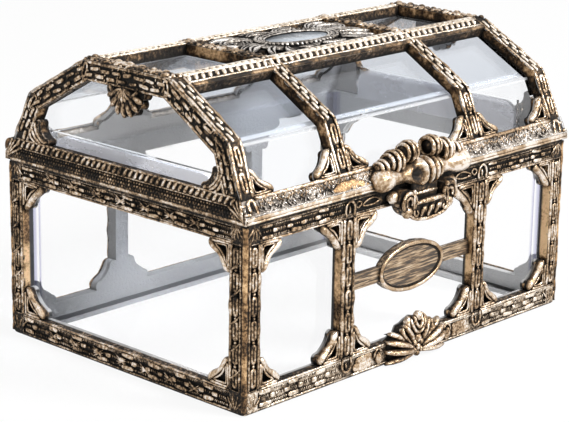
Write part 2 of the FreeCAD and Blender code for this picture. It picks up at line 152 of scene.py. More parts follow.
def shades(tree, value, stops):
    node = tree.nodes.new("ShaderNodeValToRGB")
    ramp = node.color_ramp
    while len(ramp.elements) < len(stops):
        ramp.elements.new(1.0)
    for element, (at, colour) in zip(ramp.elements, stops):
        element.position = at
        element.color = (*colour, 1.0)
    tree.links.new(value, node.inputs["Fac"])
    return node.outputs["Color"]


def blendColour(tree, share, a, b):
    node = tree.nodes.new("ShaderNodeMix")
    node.data_type = "RGBA"
    feed(tree, node.inputs[0], share)
    feed(tree, node.inputs[6], a)  # the colour sockets
    feed(tree, node.inputs[7], b)
    return node.outputs[2]


def bumped(tree, height, strength, reach):
    node = tree.nodes.new("ShaderNodeBump")
    node.inputs["Strength"].default_value = strength
    node.inputs["Distance"].default_value = reach
    tree.links.new(height, node.inputs["Height"])
    return node.outputs["Normal"]


def hollows(tree, reach, strength):
    # how clear a spot is of its neighbours, and how much the hollows darken it
    node = tree.nodes.new("ShaderNodeAmbientOcclusion")
    node.samples = 8
    node.inputs["Distance"].default_value = reach
    return node.outputs["AO"], times(tree, minus(tree, 1.0, node.outputs["AO"]), strength)


def mixInto(tree, share, a, b, output):
    mix = tree.nodes.new("ShaderNodeMixShader")
    tree.links.new(share, mix.inputs[0])
    tree.links.new(a.outputs[0], mix.inputs[1])
    tree.links.new(b.outputs[0], mix.inputs[2])
    tree.links.new(mix.outputs[0], tree.nodes[output].inputs["Surface"])


# antique gold paint: dark ground left in the hollows, gold rubbed over what stands up
goldLook = {
    "gold": [(0.0, (0.008, 0.007, 0.006)), (0.3, (0.020, 0.016, 0.013)), (0.48, (0.10, 0.062, 0.034)),
             (0.64, (0.36, 0.235, 0.132)), (0.82, (0.62, 0.465, 0.315)), (1.0, (0.90, 0.81, 0.72))],
    "silver": [(0.0, (0.008, 0.008, 0.008)), (0.32, (0.020, 0.018, 0.017)), (0.5, (0.10, 0.085, 0.072)),
               (0.68, (0.33, 0.285, 0.24)), (0.84, (0.56, 0.50, 0.44)), (1.0, (0.88, 0.84, 0.80))],
    "copper": [(0.0, (0.010, 0.008, 0.006)), (0.3, (0.040, 0.024, 0.013)), (0.5, (0.20, 0.115, 0.056)),
               (0.7, (0.50, 0.31, 0.155)), (1.0, (0.90, 0.62, 0.35))],
    "pale": [(0.0, (0.008, 0.007, 0.006)), (0.32, (0.022, 0.018, 0.015)), (0.5, (0.13, 0.095, 0.068)),
             (0.66, (0.43, 0.325, 0.22)), (0.82, (0.73, 0.60, 0.46)), (1.0, (0.96, 0.875, 0.77))],
    "inside": (0.46, 0.45, 0.44, 1.0), "shine": 0.15, "metal": 0.8, "roughLow": 0.26, "roughHigh": 0.6,
    "hollowReach": 0.0016, "hollowDark": 1.2, "patchScale": 160.0, "speckScale": 1100.0, "speckHigh": 0.00025,
    "edgeReach": 0.0005, "bandBlur": 0.0004, "bandOut": (0.0456, 0.0462), "archMid": 0.040,
    "jambPatch": 0.65, "jambFine": 0.4, "jambMetal": 0.5, "turnBlur": 0.1, "paintBlur": 0.0003,
}
plainFaces = {  # which way a piece faces, and how the faces that turn away are painted
    "outward": None, "sideways": (0.0, 0.0, 0.0), "flank": 0.0, "jambs": 0.8, "jambLightToRight": 0.0,
    "turnIn": -0.5, "paintTo": None, "inner": None, "revealShadow": None}


def archOut(tree, here):
    # outwards from a line along the middle of the lid
    middle = (0.0, 0.0, -goldLook["archMid"])
    offset = vectorMath(tree, "MULTIPLY_ADD", here, (0.0, 1.0, 1.0), middle)["Vector"]
    return vectorMath(tree, "NORMALIZE", offset)["Vector"]


def rubbedEdge(tree, openness, amount):
    # sharp edges that stand clear
    soft = tree.nodes.new("ShaderNodeBevel")
    soft.samples = 4
    soft.inputs["Radius"].default_value = goldLook["edgeReach"]
    plain = tree.nodes.new("ShaderNodeNewGeometry")
    bend = dotted(tree, plain.outputs["Normal"], soft.outputs["Normal"])
    return times(tree, spread(tree, bend, 0.995, 0.86, 0.0, amount), spread(tree, openness, 0.55, 0.9))


def railBand(tree, here, low, high):
    # a rail that is paler, between two heights
    parts = axes(tree, here)
    blur = goldLook["bandBlur"]
    inside = times(tree, spread(tree, parts["Z"], low, low + blur),
                   spread(tree, parts["Z"], high - blur, high, 1.0, 0.0))
    away = sums(tree, "ABSOLUTE", parts["Y"])
    return times(tree, inside, spread(tree, away, *goldLook["bandOut"], 1.0, 0.0))


def darkSpot(tree, here, middle, reach, depth):
    gap = vectorMath(tree, "DISTANCE", here, middle)["Value"]
    return spread(tree, gap, reach * 0.1, reach, depth, 0.0)


def innerGreyWithPaintedLight(tree, here, inner):
    if inner is None:
        return goldLook["inside"]
    # painted light: one lighter grey for the whole wall
    if isinstance(inner, float):
        return (inner, inner, inner, 1.0)
    start, end, low, high = inner  # painted shade: grey that darkens towards one end along the length
    run = spread(tree, dotted(tree, here, (1.0, 0.0, 0.0)), start, end)
    return shades(tree, run, [(0.0, (low,) * 3), (1.0, (high,) * 3)])


def sidePaint(tree, here, faces, facing, jamb, rubbed, colour, metal):
    # smoother copper gold on the jambs, and the inner faces are left plain grey, with painted light and shade
    # on some walls
    if faces["jambLightToRight"]:  # painted light: brighter towards the right
        rubbed = plus(tree, rubbed, dotted(tree, here, (faces["jambLightToRight"], 0.0, 0.0)))
    colour = blendColour(tree, jamb, colour, shades(tree, rubbed, goldLook["copper"]))
    metal = sums(tree, "MAXIMUM", metal, times(tree, jamb, goldLook["jambMetal"]))
    turnIn, blur = faces["turnIn"], goldLook["turnBlur"]
    away = spread(tree, facing, turnIn - blur, turnIn + blur)
    paintTo, blur = faces["paintTo"], goldLook["paintBlur"]
    if paintTo:  # the paint stops part of the way in
        depth = dotted(tree, here, faces["outward"])
        away = times(tree, away, spread(tree, depth, paintTo - blur, paintTo + blur))
    tone = innerGreyWithPaintedLight(tree, here, faces["inner"])
    if faces["revealShadow"]:  # painted shadow, dark at the inner end of the jambs
        tone = blendColour(tree, jamb, tone, (*(faces["revealShadow"],) * 3, 1.0))
    return blendColour(tree, away, tone, colour), times(tree, metal, away)


def antiqueGold(name, start, patch=0.35, fine=0.4, bump=0.35, stops="gold", deep=1.0, edge=0.0, lightToRight=0.0,
                shade=None, band=None, faces=None):
    made, tree, shader = newMaterial(name)
    here, normal = surface(tree)
    openness, shut = hollows(tree, goldLook["hollowReach"], goldLook["hollowDark"] * deep)
    broad = minus(tree, spread(tree, grain(tree, here, goldLook["patchScale"]), 0.3, 0.7), 0.5)
    specks = spread(tree, grain(tree, here, goldLook["speckScale"], 4.0, 0.7), 0.32, 0.68)
    fleck = minus(tree, specks, 0.5)
    worn = plus(tree, times(tree, broad, patch), times(tree, fleck, fine))
    worn = plus(tree, minus(tree, worn, shut), start)
    if lightToRight:  # painted light: brighter towards the right
        worn = plus(tree, worn, dotted(tree, here, (lightToRight, 0.0, 0.0)))
    if edge:
        worn = plus(tree, worn, rubbedEdge(tree, openness, edge))
    if faces:
        faces = {**plainFaces, **faces}
        facing = dotted(tree, normal, faces["outward"] or archOut(tree, here))
        if faces["flank"]:  # sides that the rubbing did not reach
            worn = minus(tree, worn, spread(tree, facing, -0.1, 0.55, faces["flank"], 0.0))
    if band:
        inside = railBand(tree, here, band["low"], band["high"])
        raised = plus(tree, times(tree, shut, band["spare"]), band["lift"])
        worn = plus(tree, worn, times(tree, inside, raised))
    if shade:  # a dark hollow about one point
        worn = minus(tree, worn, darkSpot(tree, here, *shade))
    worn = sums(tree, "ADD", worn, clamp=True)
    colour = shades(tree, worn, goldLook[stops])
    if band:
        colour = blendColour(tree, inside, colour, shades(tree, worn, goldLook[band["tone"]]))
    metal = spread(tree, worn, 0.3, 0.7, 0.0, goldLook["metal"])
    rough = spread(tree, worn, 0.2, 0.85, goldLook["roughHigh"], goldLook["roughLow"])
    if faces:
        jamb = spread(tree, sums(tree, "ABSOLUTE", dotted(tree, normal, faces["sideways"])), 0.75, 0.95)
        rubbed = plus(tree, times(tree, broad, goldLook["jambPatch"]), minus(tree, faces["jambs"], shut))
        rubbed = plus(tree, rubbed, times(tree, fleck, goldLook["jambFine"]))
        colour, metal = sidePaint(tree, here, faces, facing, jamb, rubbed, colour, metal)
    tree.links.new(colour, shader.inputs["Base Color"])
    tree.links.new(metal, shader.inputs["Metallic"])
    tree.links.new(rough, shader.inputs["Roughness"])
    tree.links.new(bumped(tree, specks, bump, goldLook["speckHigh"]), shader.inputs["Normal"])
    shader.inputs["Specular IOR Level"].default_value = goldLook["shine"]
    return made


# paints: how far each is rubbed, its patches and specks
outward = {"front": (0.0, -1.0, 0.0), "back": (0.0, 1.0, 0.0),
           "left": (-1.0, 0.0, 0.0), "right": (1.0, 0.0, 0.0)}
paints = {
    "relief_gold": {"start": 0.81, "patch": 0.42, "fine": 0.5},
    # darker paint for the end-wall rails, as painted shade
    "shaded_end_relief": {"start": 0.70, "patch": 0.45, "fine": 0.55},
    "dark_relief": {"start": 0.47, "patch": 0.45, "fine": 0.5},
    "hollow_dark": {"start": 0.22, "patch": 0.3, "fine": 0.3},
    "plate_dark": {"start": 0.40, "patch": 0.4, "fine": 0.4, "faces": {"outward": outward["front"]}},
    "lock_dark": {"start": 0.47, "patch": 0.45, "fine": 0.5, "faces": {"outward": outward["front"]}},
    "crest_dark": {"start": 0.22, "patch": 0.3, "fine": 0.3, "faces": {"outward": (0.0, 0.0, 1.0)}},
    "plaque_edge": {"start": 0.76, "patch": 0.3, "fine": 0.2, "bump": 0.15},
    "crest_silver": {"start": 0.88, "patch": 0.4, "fine": 0.5, "stops": "silver", "deep": 1.6},
    "rim_silver": {"start": 0.90, "patch": 0.4, "fine": 0.6, "stops": "silver", "deep": 0.6},
    "rim_gold": {"start": 0.84, "patch": 0.4, "fine": 0.5, "deep": 0.6},
    "pale_relief": {"start": 0.92, "patch": 0.35, "fine": 0.5, "stops": "pale", "deep": 0.75},
    "braid_pale": {"start": 1.0, "patch": 0.3, "fine": 0.4, "stops": "pale", "deep": 0.6},
    "smooth_gold": {"start": 0.94, "patch": 0.5, "fine": 0.25, "bump": 0.2},
    "shell_gold": {"start": 0.84, "patch": 0.42, "fine": 0.5, "deep": 0.7},
    "roll_gold": {"start": 0.97, "patch": 0.65, "fine": 0.35, "bump": 0.2, "deep": 0.7,
                  "shade": ((-0.0038, -0.0466, 0.0514), 0.0036, 0.62)},
    "dark_strip": {"start": 0.43, "patch": 0.5, "fine": 0.25, "bump": 0.2},
    "copper_gold": {"start": 0.60, "patch": 0.7, "fine": 0.45, "bump": 0.3, "stops": "copper"},
    "berry_gold": {"start": 0.70, "patch": 0.7, "fine": 0.6},
    "worn_gold": {"start": 0.78, "patch": 0.25, "fine": 0.35, "bump": 0.6, "stops": "copper"},
    "cover_relief_gold": {"start": 0.84, "patch": 0.44, "fine": 0.52,
                          "faces": {"turnIn": -0.1, "flank": 0.28}},
}
gold = {name: antiqueGold(name, **look) for name, look in paints.items()}

# ornament of the walls: wear, with the end walls started darker as painted shade; how far a face may turn
# away before it is grey; and painted light gained to the right
# inner greys with painted shade and light: darker towards the left on the back, lighter all over on the right
# end
innerGreysPaintedLight = {"front": None, "back": (-0.064, -0.012, 0.14, 0.36), "left": None, "right": 0.74}
wallWearAndLight = {"front": (0.84, -0.6, 1.3), "back": (0.84, -0.1, 0.0), "left": (0.74, -0.6, 0.0),
            "right": (0.74, -0.1, 0.0)}
for side, (start, turnIn, lightToRight) in wallWearAndLight.items():
    turned = {"outward": outward[side], "turnIn": turnIn, "inner": innerGreysPaintedLight[side]}
    carved = {"patch": 0.44, "fine": 0.52, "faces": {**turned, "flank": 0.32}}
    leafy = {"patch": 0.4, "fine": 0.4, "deep": 0.85, "faces": {**turned, "flank": 0.5}}
    gold[side + "_relief_gold"] = antiqueGold(side + "_relief_gold", start, **carved)
    gold[side + "_post_gold"] = antiqueGold(side + "_post_gold", start - 0.05, lightToRight=lightToRight, **carved)
    gold[side + "_leaf_gold"] = antiqueGold(side + "_leaf_gold", 0.88, **leafy)

# ground paint of the moulded frames, with a paler lower rail at front and back and a silver rim on the lid
groundPaint = {"start": 0.33, "patch": 0.35, "fine": 0.65, "edge": 0.5, "bump": 0.6}
lowRail = {"low": -0.001, "high": 0.0060, "lift": 0.45, "spare": 0.5, "tone": "pale"}
lidRim = {"low": 0.0502, "high": 0.0546, "lift": 0.44, "spare": 0.6, "tone": "silver"}
frames = {
    "base_front_frame": {"jambs": 0.765, "paintTo": 0.0418, "revealShadow": 0.05, "jambLightToRight": 5.2},
    "base_back_frame": {"jambs": 0.45, "paintTo": 0.0440, "inner": innerGreysPaintedLight["back"]},
    "base_left_frame": {"paintTo": 0.0622, "revealShadow": 0.06},
    "base_right_frame": {"paintTo": 0.0630, "inner": innerGreysPaintedLight["right"]},
    "lid_left_frame": {"jambs": 0.5},
    "lid_right_frame": {"jambs": 0.5},
}
finish = {}
for name, faces in frames.items():
    out = outward[name.split("_")[1]]
    faces = {**faces, "outward": out, "sideways": (abs(out[1]), abs(out[0]), 0.0)}
    band = lowRail if name in ("base_front_frame", "base_back_frame") else None
    finish[name] = antiqueGold(name + "_gold", band=band, faces=faces, **groundPaint)
coverPaint = {**groundPaint, "fine": 0.42, "faces": {"sideways": (1.0, 0.0, 0.0), "jambs": 0.45}}
finish["lid_cover_frame"] = antiqueGold("cover_gold", band=lidRim, **coverPaint)
finish["lock_plate"] = gold["lock_dark"]
finish["top_medallion"] = gold["crest_dark"]


def plainGrey(name, colour):
    # smooth grey with faint cloudy wear
    made, tree, shader = newMaterial(name)
    cloud = grain(tree, surface(tree)[0], 220.0, 4.0, 0.6)
    dim = tuple(c * 0.72 for c in colour)
    tree.links.new(shades(tree, cloud, [(0.3, dim), (0.7, colour)]), shader.inputs["Base Color"])
    tree.links.new(spread(tree, cloud, 0.3, 0.7, 0.18, 0.34), shader.inputs["Roughness"])
    return made


fieldGrey = plainGrey("field_grey", (0.42, 0.46, 0.51))
streaks = {"stops": [(0.0, (0.018, 0.014, 0.011)), (0.34, (0.10, 0.066, 0.040)), (0.5, (0.33, 0.225, 0.135)),
                     (0.72, (0.52, 0.39, 0.255)), (1.0, (0.78, 0.66, 0.52))],
           "scale": 1500.0, "stretch": (0.09, 1.0, 1.4), "hollowReach": 0.001, "hollowDark": 0.9}


def brushedGold(name):
    # gold rubbed over dark in streaks along the plaque, plain grey at the back
    made, tree, shader = newMaterial(name)
    here, normal = surface(tree)
    shut = hollows(tree, streaks["hollowReach"], streaks["hollowDark"])[1]
    lines = grain(tree, here, streaks["scale"], 5.0, 0.65, streaks["stretch"])
    patches = grain(tree, here, 130.0, 2.0, 0.5)
    worn = plus(tree, spread(tree, lines, 0.3, 0.72), times(tree, patches, 0.5))
    worn = sums(tree, "SUBTRACT", minus(tree, worn, 0.3), shut, clamp=True)
    away = spread(tree, dotted(tree, normal, outward["front"]), -0.6, -0.4)
    colour = blendColour(tree, away, goldLook["inside"], shades(tree, worn, streaks["stops"]))
    tree.links.new(colour, shader.inputs["Base Color"])
    metal = times(tree, away, spread(tree, worn, 0.25, 0.6, 0.0, 0.75))
    tree.links.new(metal, shader.inputs["Metallic"])
    tree.links.new(spread(tree, worn, 0.2, 0.8, 0.55, 0.3), shader.inputs["Roughness"])
    tree.links.new(bumped(tree, lines, 0.3, 0.00015), shader.inputs["Normal"])
    return made


plaqueGold = brushedGold("plaque_gold")

# clear moulded plastic: tint by height, with frosted bands and scuffs; the blue-grey on the lid's slope and
# top is a painted reflection
clear = {
    "tub": {"tintsAndReflection": [(0.0, (0.996, 0.996, 0.998)), (0.0484, (0.996, 0.996, 0.998)),
                      (0.0490, (0.86, 0.86, 0.89))],
            "frost": (0.0484, 0.0490), "haze": 0.04, "bend": 1.05},
    # the darker lid tints between the bend and the top are a painted reflection
    "lid": {"tintsAndReflection": [(0.0, (0.97, 0.975, 0.985)), (0.0652, (0.96, 0.97, 0.985)),
                      (0.0664, (0.69, 0.73, 0.79)), (0.0752, (0.74, 0.77, 0.82)),
                      (0.0766, (0.90, 0.905, 0.92))],
            "frost": (0.0650, 0.0653), "haze": 0.12, "bend": 1.35},
    "tall": 0.08, "frostShare": 0.5, "frostEnd": (0.0657, 0.0660), "ends": (0.99, 0.99, 0.992, 1.0),
    "corner": (0.62, 0.62, 0.76, 1.0), "cornerX": (0.0574, 0.0582), "cornerY": (0.0374, 0.0382)}


def clearPlastic(part):
    look = clear[part]
    made, tree, shader = newMaterial(part + "_clear")
    here, normal = surface(tree)
    parts = axes(tree, here)
    height = sums(tree, "DIVIDE", parts["Z"], clear["tall"])
    colour = shades(tree, height, [(z / clear["tall"], c) for z, c in look["tintsAndReflection"]])
    dull = spread(tree, parts["Z"], *look["frost"], 0.0, clear["frostShare"])
    if part == "lid":  # a line at the bend only, and clear ends
        dull = times(tree, dull, spread(tree, parts["Z"], *clear["frostEnd"], 1.0, 0.0))
        flank = spread(tree, sums(tree, "ABSOLUTE", dotted(tree, normal, (1.0, 0.0, 0.0))), 0.4, 0.6)
        dull = times(tree, dull, minus(tree, 1.0, flank))
        colour = blendColour(tree, flank, colour, clear["ends"])
    else:  # the four corners look bluish through their thickness
        corner = times(tree, spread(tree, sums(tree, "ABSOLUTE", parts["X"]), *clear["cornerX"]),
                       spread(tree, sums(tree, "ABSOLUTE", parts["Y"]), *clear["cornerY"]))
        colour = blendColour(tree, corner, colour, clear["corner"])
    scuff = grain(tree, here, 60.0, 5.0, 0.7, (1.0, 1.0, 3.0))
    rough = plus(tree, spread(tree, scuff, 0.5, 0.75, 0.02, look["haze"]), times(tree, dull, 0.5))
    tree.links.new(rough, shader.inputs["Roughness"])
    tree.links.new(colour, shader.inputs["Base Color"])
    tree.links.new(minus(tree, 1.0, dull), shader.inputs["Transmission Weight"])
    shader.inputs["IOR"].default_value = look["bend"]
    rays = tree.nodes.new("ShaderNodeLightPath")  # lamps reach what is inside
    through = tree.nodes.new("ShaderNodeBsdfTransparent")
    tree.links.new(colour, through.inputs["Color"])
    mixInto(tree, rays.outputs["Is Shadow Ray"], shader, through, "Material Output")
    return made


def wirePin(name):
    made, tree, shader = newMaterial(name)
    lines = grain(tree, surface(tree)[0], 400.0, 2.0, 0.5, (8.0, 1.0, 1.0))
    colour = shades(tree, lines, [(0.3, (0.40, 0.39, 0.38)), (0.7, (0.62, 0.61, 0.60))])
    tree.links.new(colour, shader.inputs["Base Color"])
    tree.links.new(spread(tree, lines, 0.3, 0.7, 0.25, 0.42), shader.inputs["Roughness"])
    shader.inputs["Metallic"].default_value = 1.0
    return made


finish["base_liner"] = clearPlastic("tub")
finish["lid_liner"] = clearPlastic("lid")
finish["hinge_pin_left"] = finish["hinge_pin_right"] = wirePin("pin_steel")
print("finishes made")


# mesh helpers: units are made once in millimetres, then stamped on the faces
def spot(u, v, w=0.0, turn=0.0, size=(1.0, 1.0, 1.0)):
    return (Matrix.Translation((u, v, w)) @ Matrix.Rotation(math.radians(turn), 4, "Z")
            @ Matrix.Diagonal((*size, 1.0)))


def keepUnit(name, bm):
    bmesh.ops.recalc_face_normals(bm, faces=bm.faces)
    unit = bpy.data.meshes.new(name)
    bm.to_mesh(unit)
    bm.free()
    return unit


def stamp(bm, unit, place):
    copy = unit.copy()
    copy.transform(place)
    if place.determinant() < 0:
        copy.flip_normals()
    bm.from_mesh(copy)
    bpy.data.meshes.remove(copy)


def pour(bm, work, place=None):
    # a finished shape goes into the piece that it belongs to
    part = keepUnit("part", work)
    if place:
        part.transform(place)
    bm.from_mesh(part)
    bpy.data.meshes.remove(part)


def softLine(points, steps, closed=False):
    count = len(points)
    line = []
    for k in range(count if closed else count - 1):
        if closed:
            a, b, c, d = (Vector(points[(k + j) % count]) for j in (-1, 0, 1, 2))
        else:
            b, c = Vector(points[k]), Vector(points[k + 1])
            a = Vector(points[k - 1]) if k else b * 2 - c
            d = Vector(points[k + 2]) if k + 2 < count else c * 2 - b
        for j in range(steps):
            t = j / steps
            line.append(0.5 * (2 * b + (c - a) * t + (2 * a - 5 * b + 4 * c - d) * t * t
                               + (3 * b - a - 3 * c + d) * t * t * t))
    if not closed:
        line.append(Vector(points[-1]))
    return line


def edgesOf(made):
    return list({e for v in made["verts"] for e in v.link_edges})


def stroke(bm, path, tall=1.0, sides=8, steps=3, closed=False, place=None):
    # path points are along, up, out and half width
    line = softLine(path, steps, closed)
    count = len(line)
    work = bmesh.new()
    ring = first = last = None
    for k, point in enumerate(line):
        ahead = line[(k + 1) % count] if closed else line[min(k + 1, count - 1)]
        behind = line[k - 1] if closed or k else line[0]
        run = (ahead - behind).to_3d().normalized()
        side = Vector((0.0, 0.0, 1.0)).cross(run).normalized()
        half = max(point[3], 0.02)
        station = Matrix((side * half, run.cross(side) * half * tall, run)).transposed().to_4x4()
        station.translation = point.to_3d()
        if ring is None:
            made = bmesh.ops.create_circle(work, cap_ends=not closed, segments=sides, radius=1.0,
                                           matrix=station)
            ring = first = edgesOf(made)
        else:
            made = bmesh.ops.extrude_edge_only(work, edges=ring)
            ring = [g for g in made["geom"] if isinstance(g, bmesh.types.BMEdge)]
            moved = [g for g in made["geom"] if isinstance(g, bmesh.types.BMVert)]
            bmesh.ops.transform(work, matrix=station @ last, verts=moved)
        last = station.inverted()
    if closed:
        bmesh.ops.bridge_loops(work, edges=first + ring)
    else:
        bmesh.ops.contextual_create(work, geom=ring)
    pour(bm, work, place)


def spun(bm, start, sides, thick, middle, axis, steps):
    # round bar bent into a ring
    made = bmesh.ops.create_circle(bm, segments=sides, radius=thick, matrix=start)
    bmesh.ops.spin(bm, geom=made["verts"] + edgesOf(made), cent=middle, axis=axis, angle=2 * math.pi,
                   steps=steps, use_merge=True)


def plate(bm, outline, low, high, place):
    work = bmesh.new()
    rim = [work.verts.new((u, v, low)) for u, v in outline]
    made = bmesh.ops.contextual_create(work, geom=rim)
    raised = bmesh.ops.extrude_face_region(work, geom=made["faces"])
    verts = [g for g in raised["geom"] if isinstance(g, bmesh.types.BMVert)]
    bmesh.ops.translate(work, vec=(0, 0, high - low), verts=verts)
    pour(bm, work, place)


def castRough(bm, amount=0.09):
    # small unevenness of a hand-cut mould
    for v in bm.verts:
        v.co += noise.noise_vector(v.co / mm * 0.9) * amount * mm


def addPiece(name, bm, body, material):
    castRough(bm)
    mesh = bpy.data.meshes.new(name)
    bm.to_mesh(mesh)
    bm.free()
    for face in mesh.polygons:
        face.use_smooth = True
    piece = bpy.data.objects.new(name, mesh)
    scene.collection.objects.link(piece)
    mesh.materials.append(material)
    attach(piece, body)
    return piece


def tickUnit():
    bm = bmesh.new()
    turned = Matrix.Translation((0, 0, 0.5)) @ Matrix.Rotation(math.pi / 4, 4, "Z")
    bmesh.ops.create_cone(bm, cap_ends=True, segments=4, radius1=0.7, radius2=0.45, depth=1.0, matrix=turned)
    return keepUnit("tick", bm)


def brickUnit():
    bm = bmesh.new()
    bmesh.ops.create_cube(bm, size=1.0, matrix=Matrix.Translation((0, 0, 0.5)))
    under = [f for f in bm.faces if f.normal.z < -0.5]
    bmesh.ops.delete(bm, geom=under, context="FACES_ONLY")
    raised = [e for e in bm.edges if max(v.co.z for v in e.verts) > 0.5]
    bmesh.ops.bevel(bm, geom=raised, offset=0.26, segments=2, profile=0.5, affect="EDGES", material=-1)
    return keepUnit("brick", bm)


def beadUnit():
    bm = bmesh.new()
    bmesh.ops.create_uvsphere(bm, u_segments=10, v_segments=6, radius=0.5)
    return keepUnit("bead", bm)


def linkUnit(long, wide, thick):
    # flat oval ring, its straight sides along the first axis
    bm = bmesh.new()
    start = Matrix.Translation((wide / 2 - thick, 0, 0)) @ Matrix.Rotation(math.pi / 2, 4, "X")
    spun(bm, start, 6, thick, (0, 0, 0), (0, 0, 1), 16)
    pull = (long - wide) / 2
    for v in bm.verts:
        v.co.x += pull if v.co.x > 0.01 else (-pull if v.co.x < -0.01 else 0.0)
    return keepUnit("link", bm)


brick = brickUnit()
bead = beadUnit()
tick = tickUnit()
postLink = linkUnit(5.7, 2.5, 0.6)
thinLink = linkUnit(5.4, 2.2, 0.54)
ringLink = linkUnit(4.6, 2.5, 0.42)
dice = random.Random(11)
noise.seed_set(11)  # the same unevenness every time
print("units made")


def evenLine(bm, place, u0, u1, v, out, half, tall=0.8, sides=6):
    count = max(2, round(abs(u1 - u0) / 6))
    path = [(u0 + (u1 - u0) * k / count, v, out, half * dice.uniform(0.9, 1.1)) for k in range(count + 1)]
    stroke(bm, path, tall, sides, 2, place=place)


# base walls: brick rows on the rails, chains on the posts, leaf brackets in the window corners
wall = {
    "plates": {"long": 4.1, "at": (0.25,), "fringe": [0.5 + 0.062 * j for j in range(9)]},
    "stubs": {"long": 1.8, "at": (0.02, 0.5), "fringe": (0.15, 0.22, 0.29, 0.36, 0.65, 0.72, 0.79, 0.86)},
    "lowRows": ((5.1, 1.25, 0.8, "plates"), (3.5, 1.15, 0.85, "stubs"), (1.9, 1.15, 0.8, "plates")),
    "topRows": ((44.8, 1.0, 0.9, "plates"), (46.1, 0.95, 0.9, "stubs"), (47.4, 0.8, 0.6, "plates")),
    "lowLines": ((5.98, -0.08, 0.3), (0.75, -0.2, 0.36)), "topLine": (43.85, -0.08, 0.28), "railGap": 2.1,
    "weavePitch": 10.2, "tickWide": 0.3, "tickTall": 0.5, "floor": -0.5,
    "postLow": 6.4, "postHigh": 43.4, "linkPitch": 6.1, "edgeHalf": 1.92, "edgeWide": 0.58,
    "postLoop": [(-1.45, 44.1), (-1.75, 45.6), (-1.3, 47.2), (0, 48.0), (1.3, 47.2), (1.75, 45.6),
                 (1.45, 44.1)],
    "loopSum": 50.2, "loopBeads": (3.6, 45.6), "cornerMid": 3.1, "cornerLine": (1.65, 0.34),
    "fans": ((0.9, 5.0), (48.2, -4.4)), "blades": range(9, 42, 7), "sheafUp": (3.1, 46.2),
    "sheafAt": range(-27, 28, 9), "windowEdge": 5.4, "window": (6.2, 43.6), "postGap": 2.35, "topGrow": 1.16}


def weaveBand(bm, place, u0, u1, rows):
    # plates with fringes between them, small stubs in the row between
    count = max(1, round((u1 - u0) / wall["weavePitch"]))
    step = (u1 - u0) / count
    for v, wide, tall, kind in rows:
        weave = wall[kind]
        for k in range(count):
            for part in weave["at"]:
                u = u0 + step * (k + part)
                long = weave["long"] * dice.uniform(0.88, 1.12)
                if u0 + long / 2 - 0.3 < u < u1 - long / 2 + 0.3:
                    size = (long, wide * dice.uniform(0.88, 1.1), tall * dice.uniform(0.88, 1.12))
                    up = v + dice.uniform(-0.08, 0.08)
                    stamp(bm, brick, place @ spot(u, up, wall["floor"], dice.uniform(-4, 4), size))
            for part in weave["fringe"]:
                u = u0 + step * (k + part)
                if u < u1:
                    turn = dice.uniform(-14, 14)
                    size = (wall["tickWide"], wide * 0.7, wall["tickTall"] * dice.uniform(0.7, 1.3))
                    stamp(bm, tick, place @ spot(u, v, wall["floor"], turn, size))


def chainPost(bm, place, u, v0, v1, link, lean=0.0):
    count = max(2, round((v1 - v0) / wall["linkPitch"]))
    step = (v1 - v0) / count
    for k in range(count):
        v = v0 + step * (k + 0.5)
        x = u + lean * (v - v0)
        stamp(bm, link, place @ spot(x, v, -0.15, 90))
        stamp(bm, bead, place @ spot(x + dice.uniform(-0.1, 0.1), v, -0.45, 90, (1.9, 0.4, 0.7)))
        if k:
            x -= lean * step / 2
            stamp(bm, bead, place @ spot(x, v - step / 2, -0.15, 0, (1.0, 1.0, 0.9)))


def wavyEdge(bm, place, u, v0, v1, half, lean=0.0):
    count = max(4, round((v1 - v0) / wall["linkPitch"]) * 2)
    path = []
    for k in range(count + 1):
        v = v0 + (v1 - v0) * k / count
        wide = half * (1.25 if k % 2 else 0.8) * dice.uniform(0.8, 1.2)
        path.append((u + lean * (v - v0), v, -0.1, wide))
    stroke(bm, path, 0.8, 6, place=place)


def leafFan(bm, place, u, v, tall):
    # spiky blades fanning from the foot
    for angle in (-40, -14, 14, 40):
        c, d = math.cos(math.radians(angle)), math.sin(math.radians(angle))
        long = tall * dice.uniform(0.8, 1.05)
        path = [(u + d * long * r, v + c * long * r, out, half) for r, out, half in
                ((0.0, -0.35, 0.2), (0.35, -0.1, 0.34), (0.75, -0.1, 0.28), (1.0, -0.35, 0.1))]
        stroke(bm, path, 1.0, 6, 2, place=place)


def bracketUnit():
    # corner at the origin, rail along the first axis and post up the second, face at zero
    bm = bmesh.new()
    bar = [(7.0, 0.2, -1.3, 0.65), (6.75, 1.3, -1.2, 1.0), (5.55, 2.35, -1.2, 1.0), (3.75, 3.7, -1.25, 0.84),
           (2.4, 5.4, -1.2, 0.94), (1.5, 6.75, -1.2, 0.97), (0.4, 7.35, -1.3, 0.6)]
    stroke(bm, bar, 1.4, 10)
    for points in ([(0.2, 0.3, -0.4, 0.34), (3.0, 0.32, -0.3, 0.38), (6.2, 0.45, -0.3, 0.46)],
                   [(0.3, 0.2, -0.4, 0.34), (0.32, 3.1, -0.3, 0.38), (0.45, 6.4, -0.3, 0.46)]):
        stroke(bm, points, steps=4)
    pocket = [(1.15, 1.1), (3.2, 0.95), (5.2, 1.15), (3.45, 2.4), (2.15, 3.9), (1.3, 5.6), (0.95, 3.2)]
    stroke(bm, [(u, v, -0.4, 0.3) for u, v in pocket], 1.2, 6, 2, True)
    return keepUnit("bracket", bm)


leafBracket = bracketUnit()


def windowBrackets(bm, place, u0, u1, v0, v1, size=(1.0, 1.0, 1.0), lowOnly=False, topGrow=1.0):
    for u, side in ((u0, 1), (u1, -1)):
        for v, rise, grow in ((v0, 1, 1.0), (v1, -1, topGrow)):
            if rise > 0 or not lowOnly:
                scale = (side * size[0] * grow, rise * size[1] * grow, size[2])
                stamp(bm, leafBracket, place @ spot(u, v, 0, 0, scale))


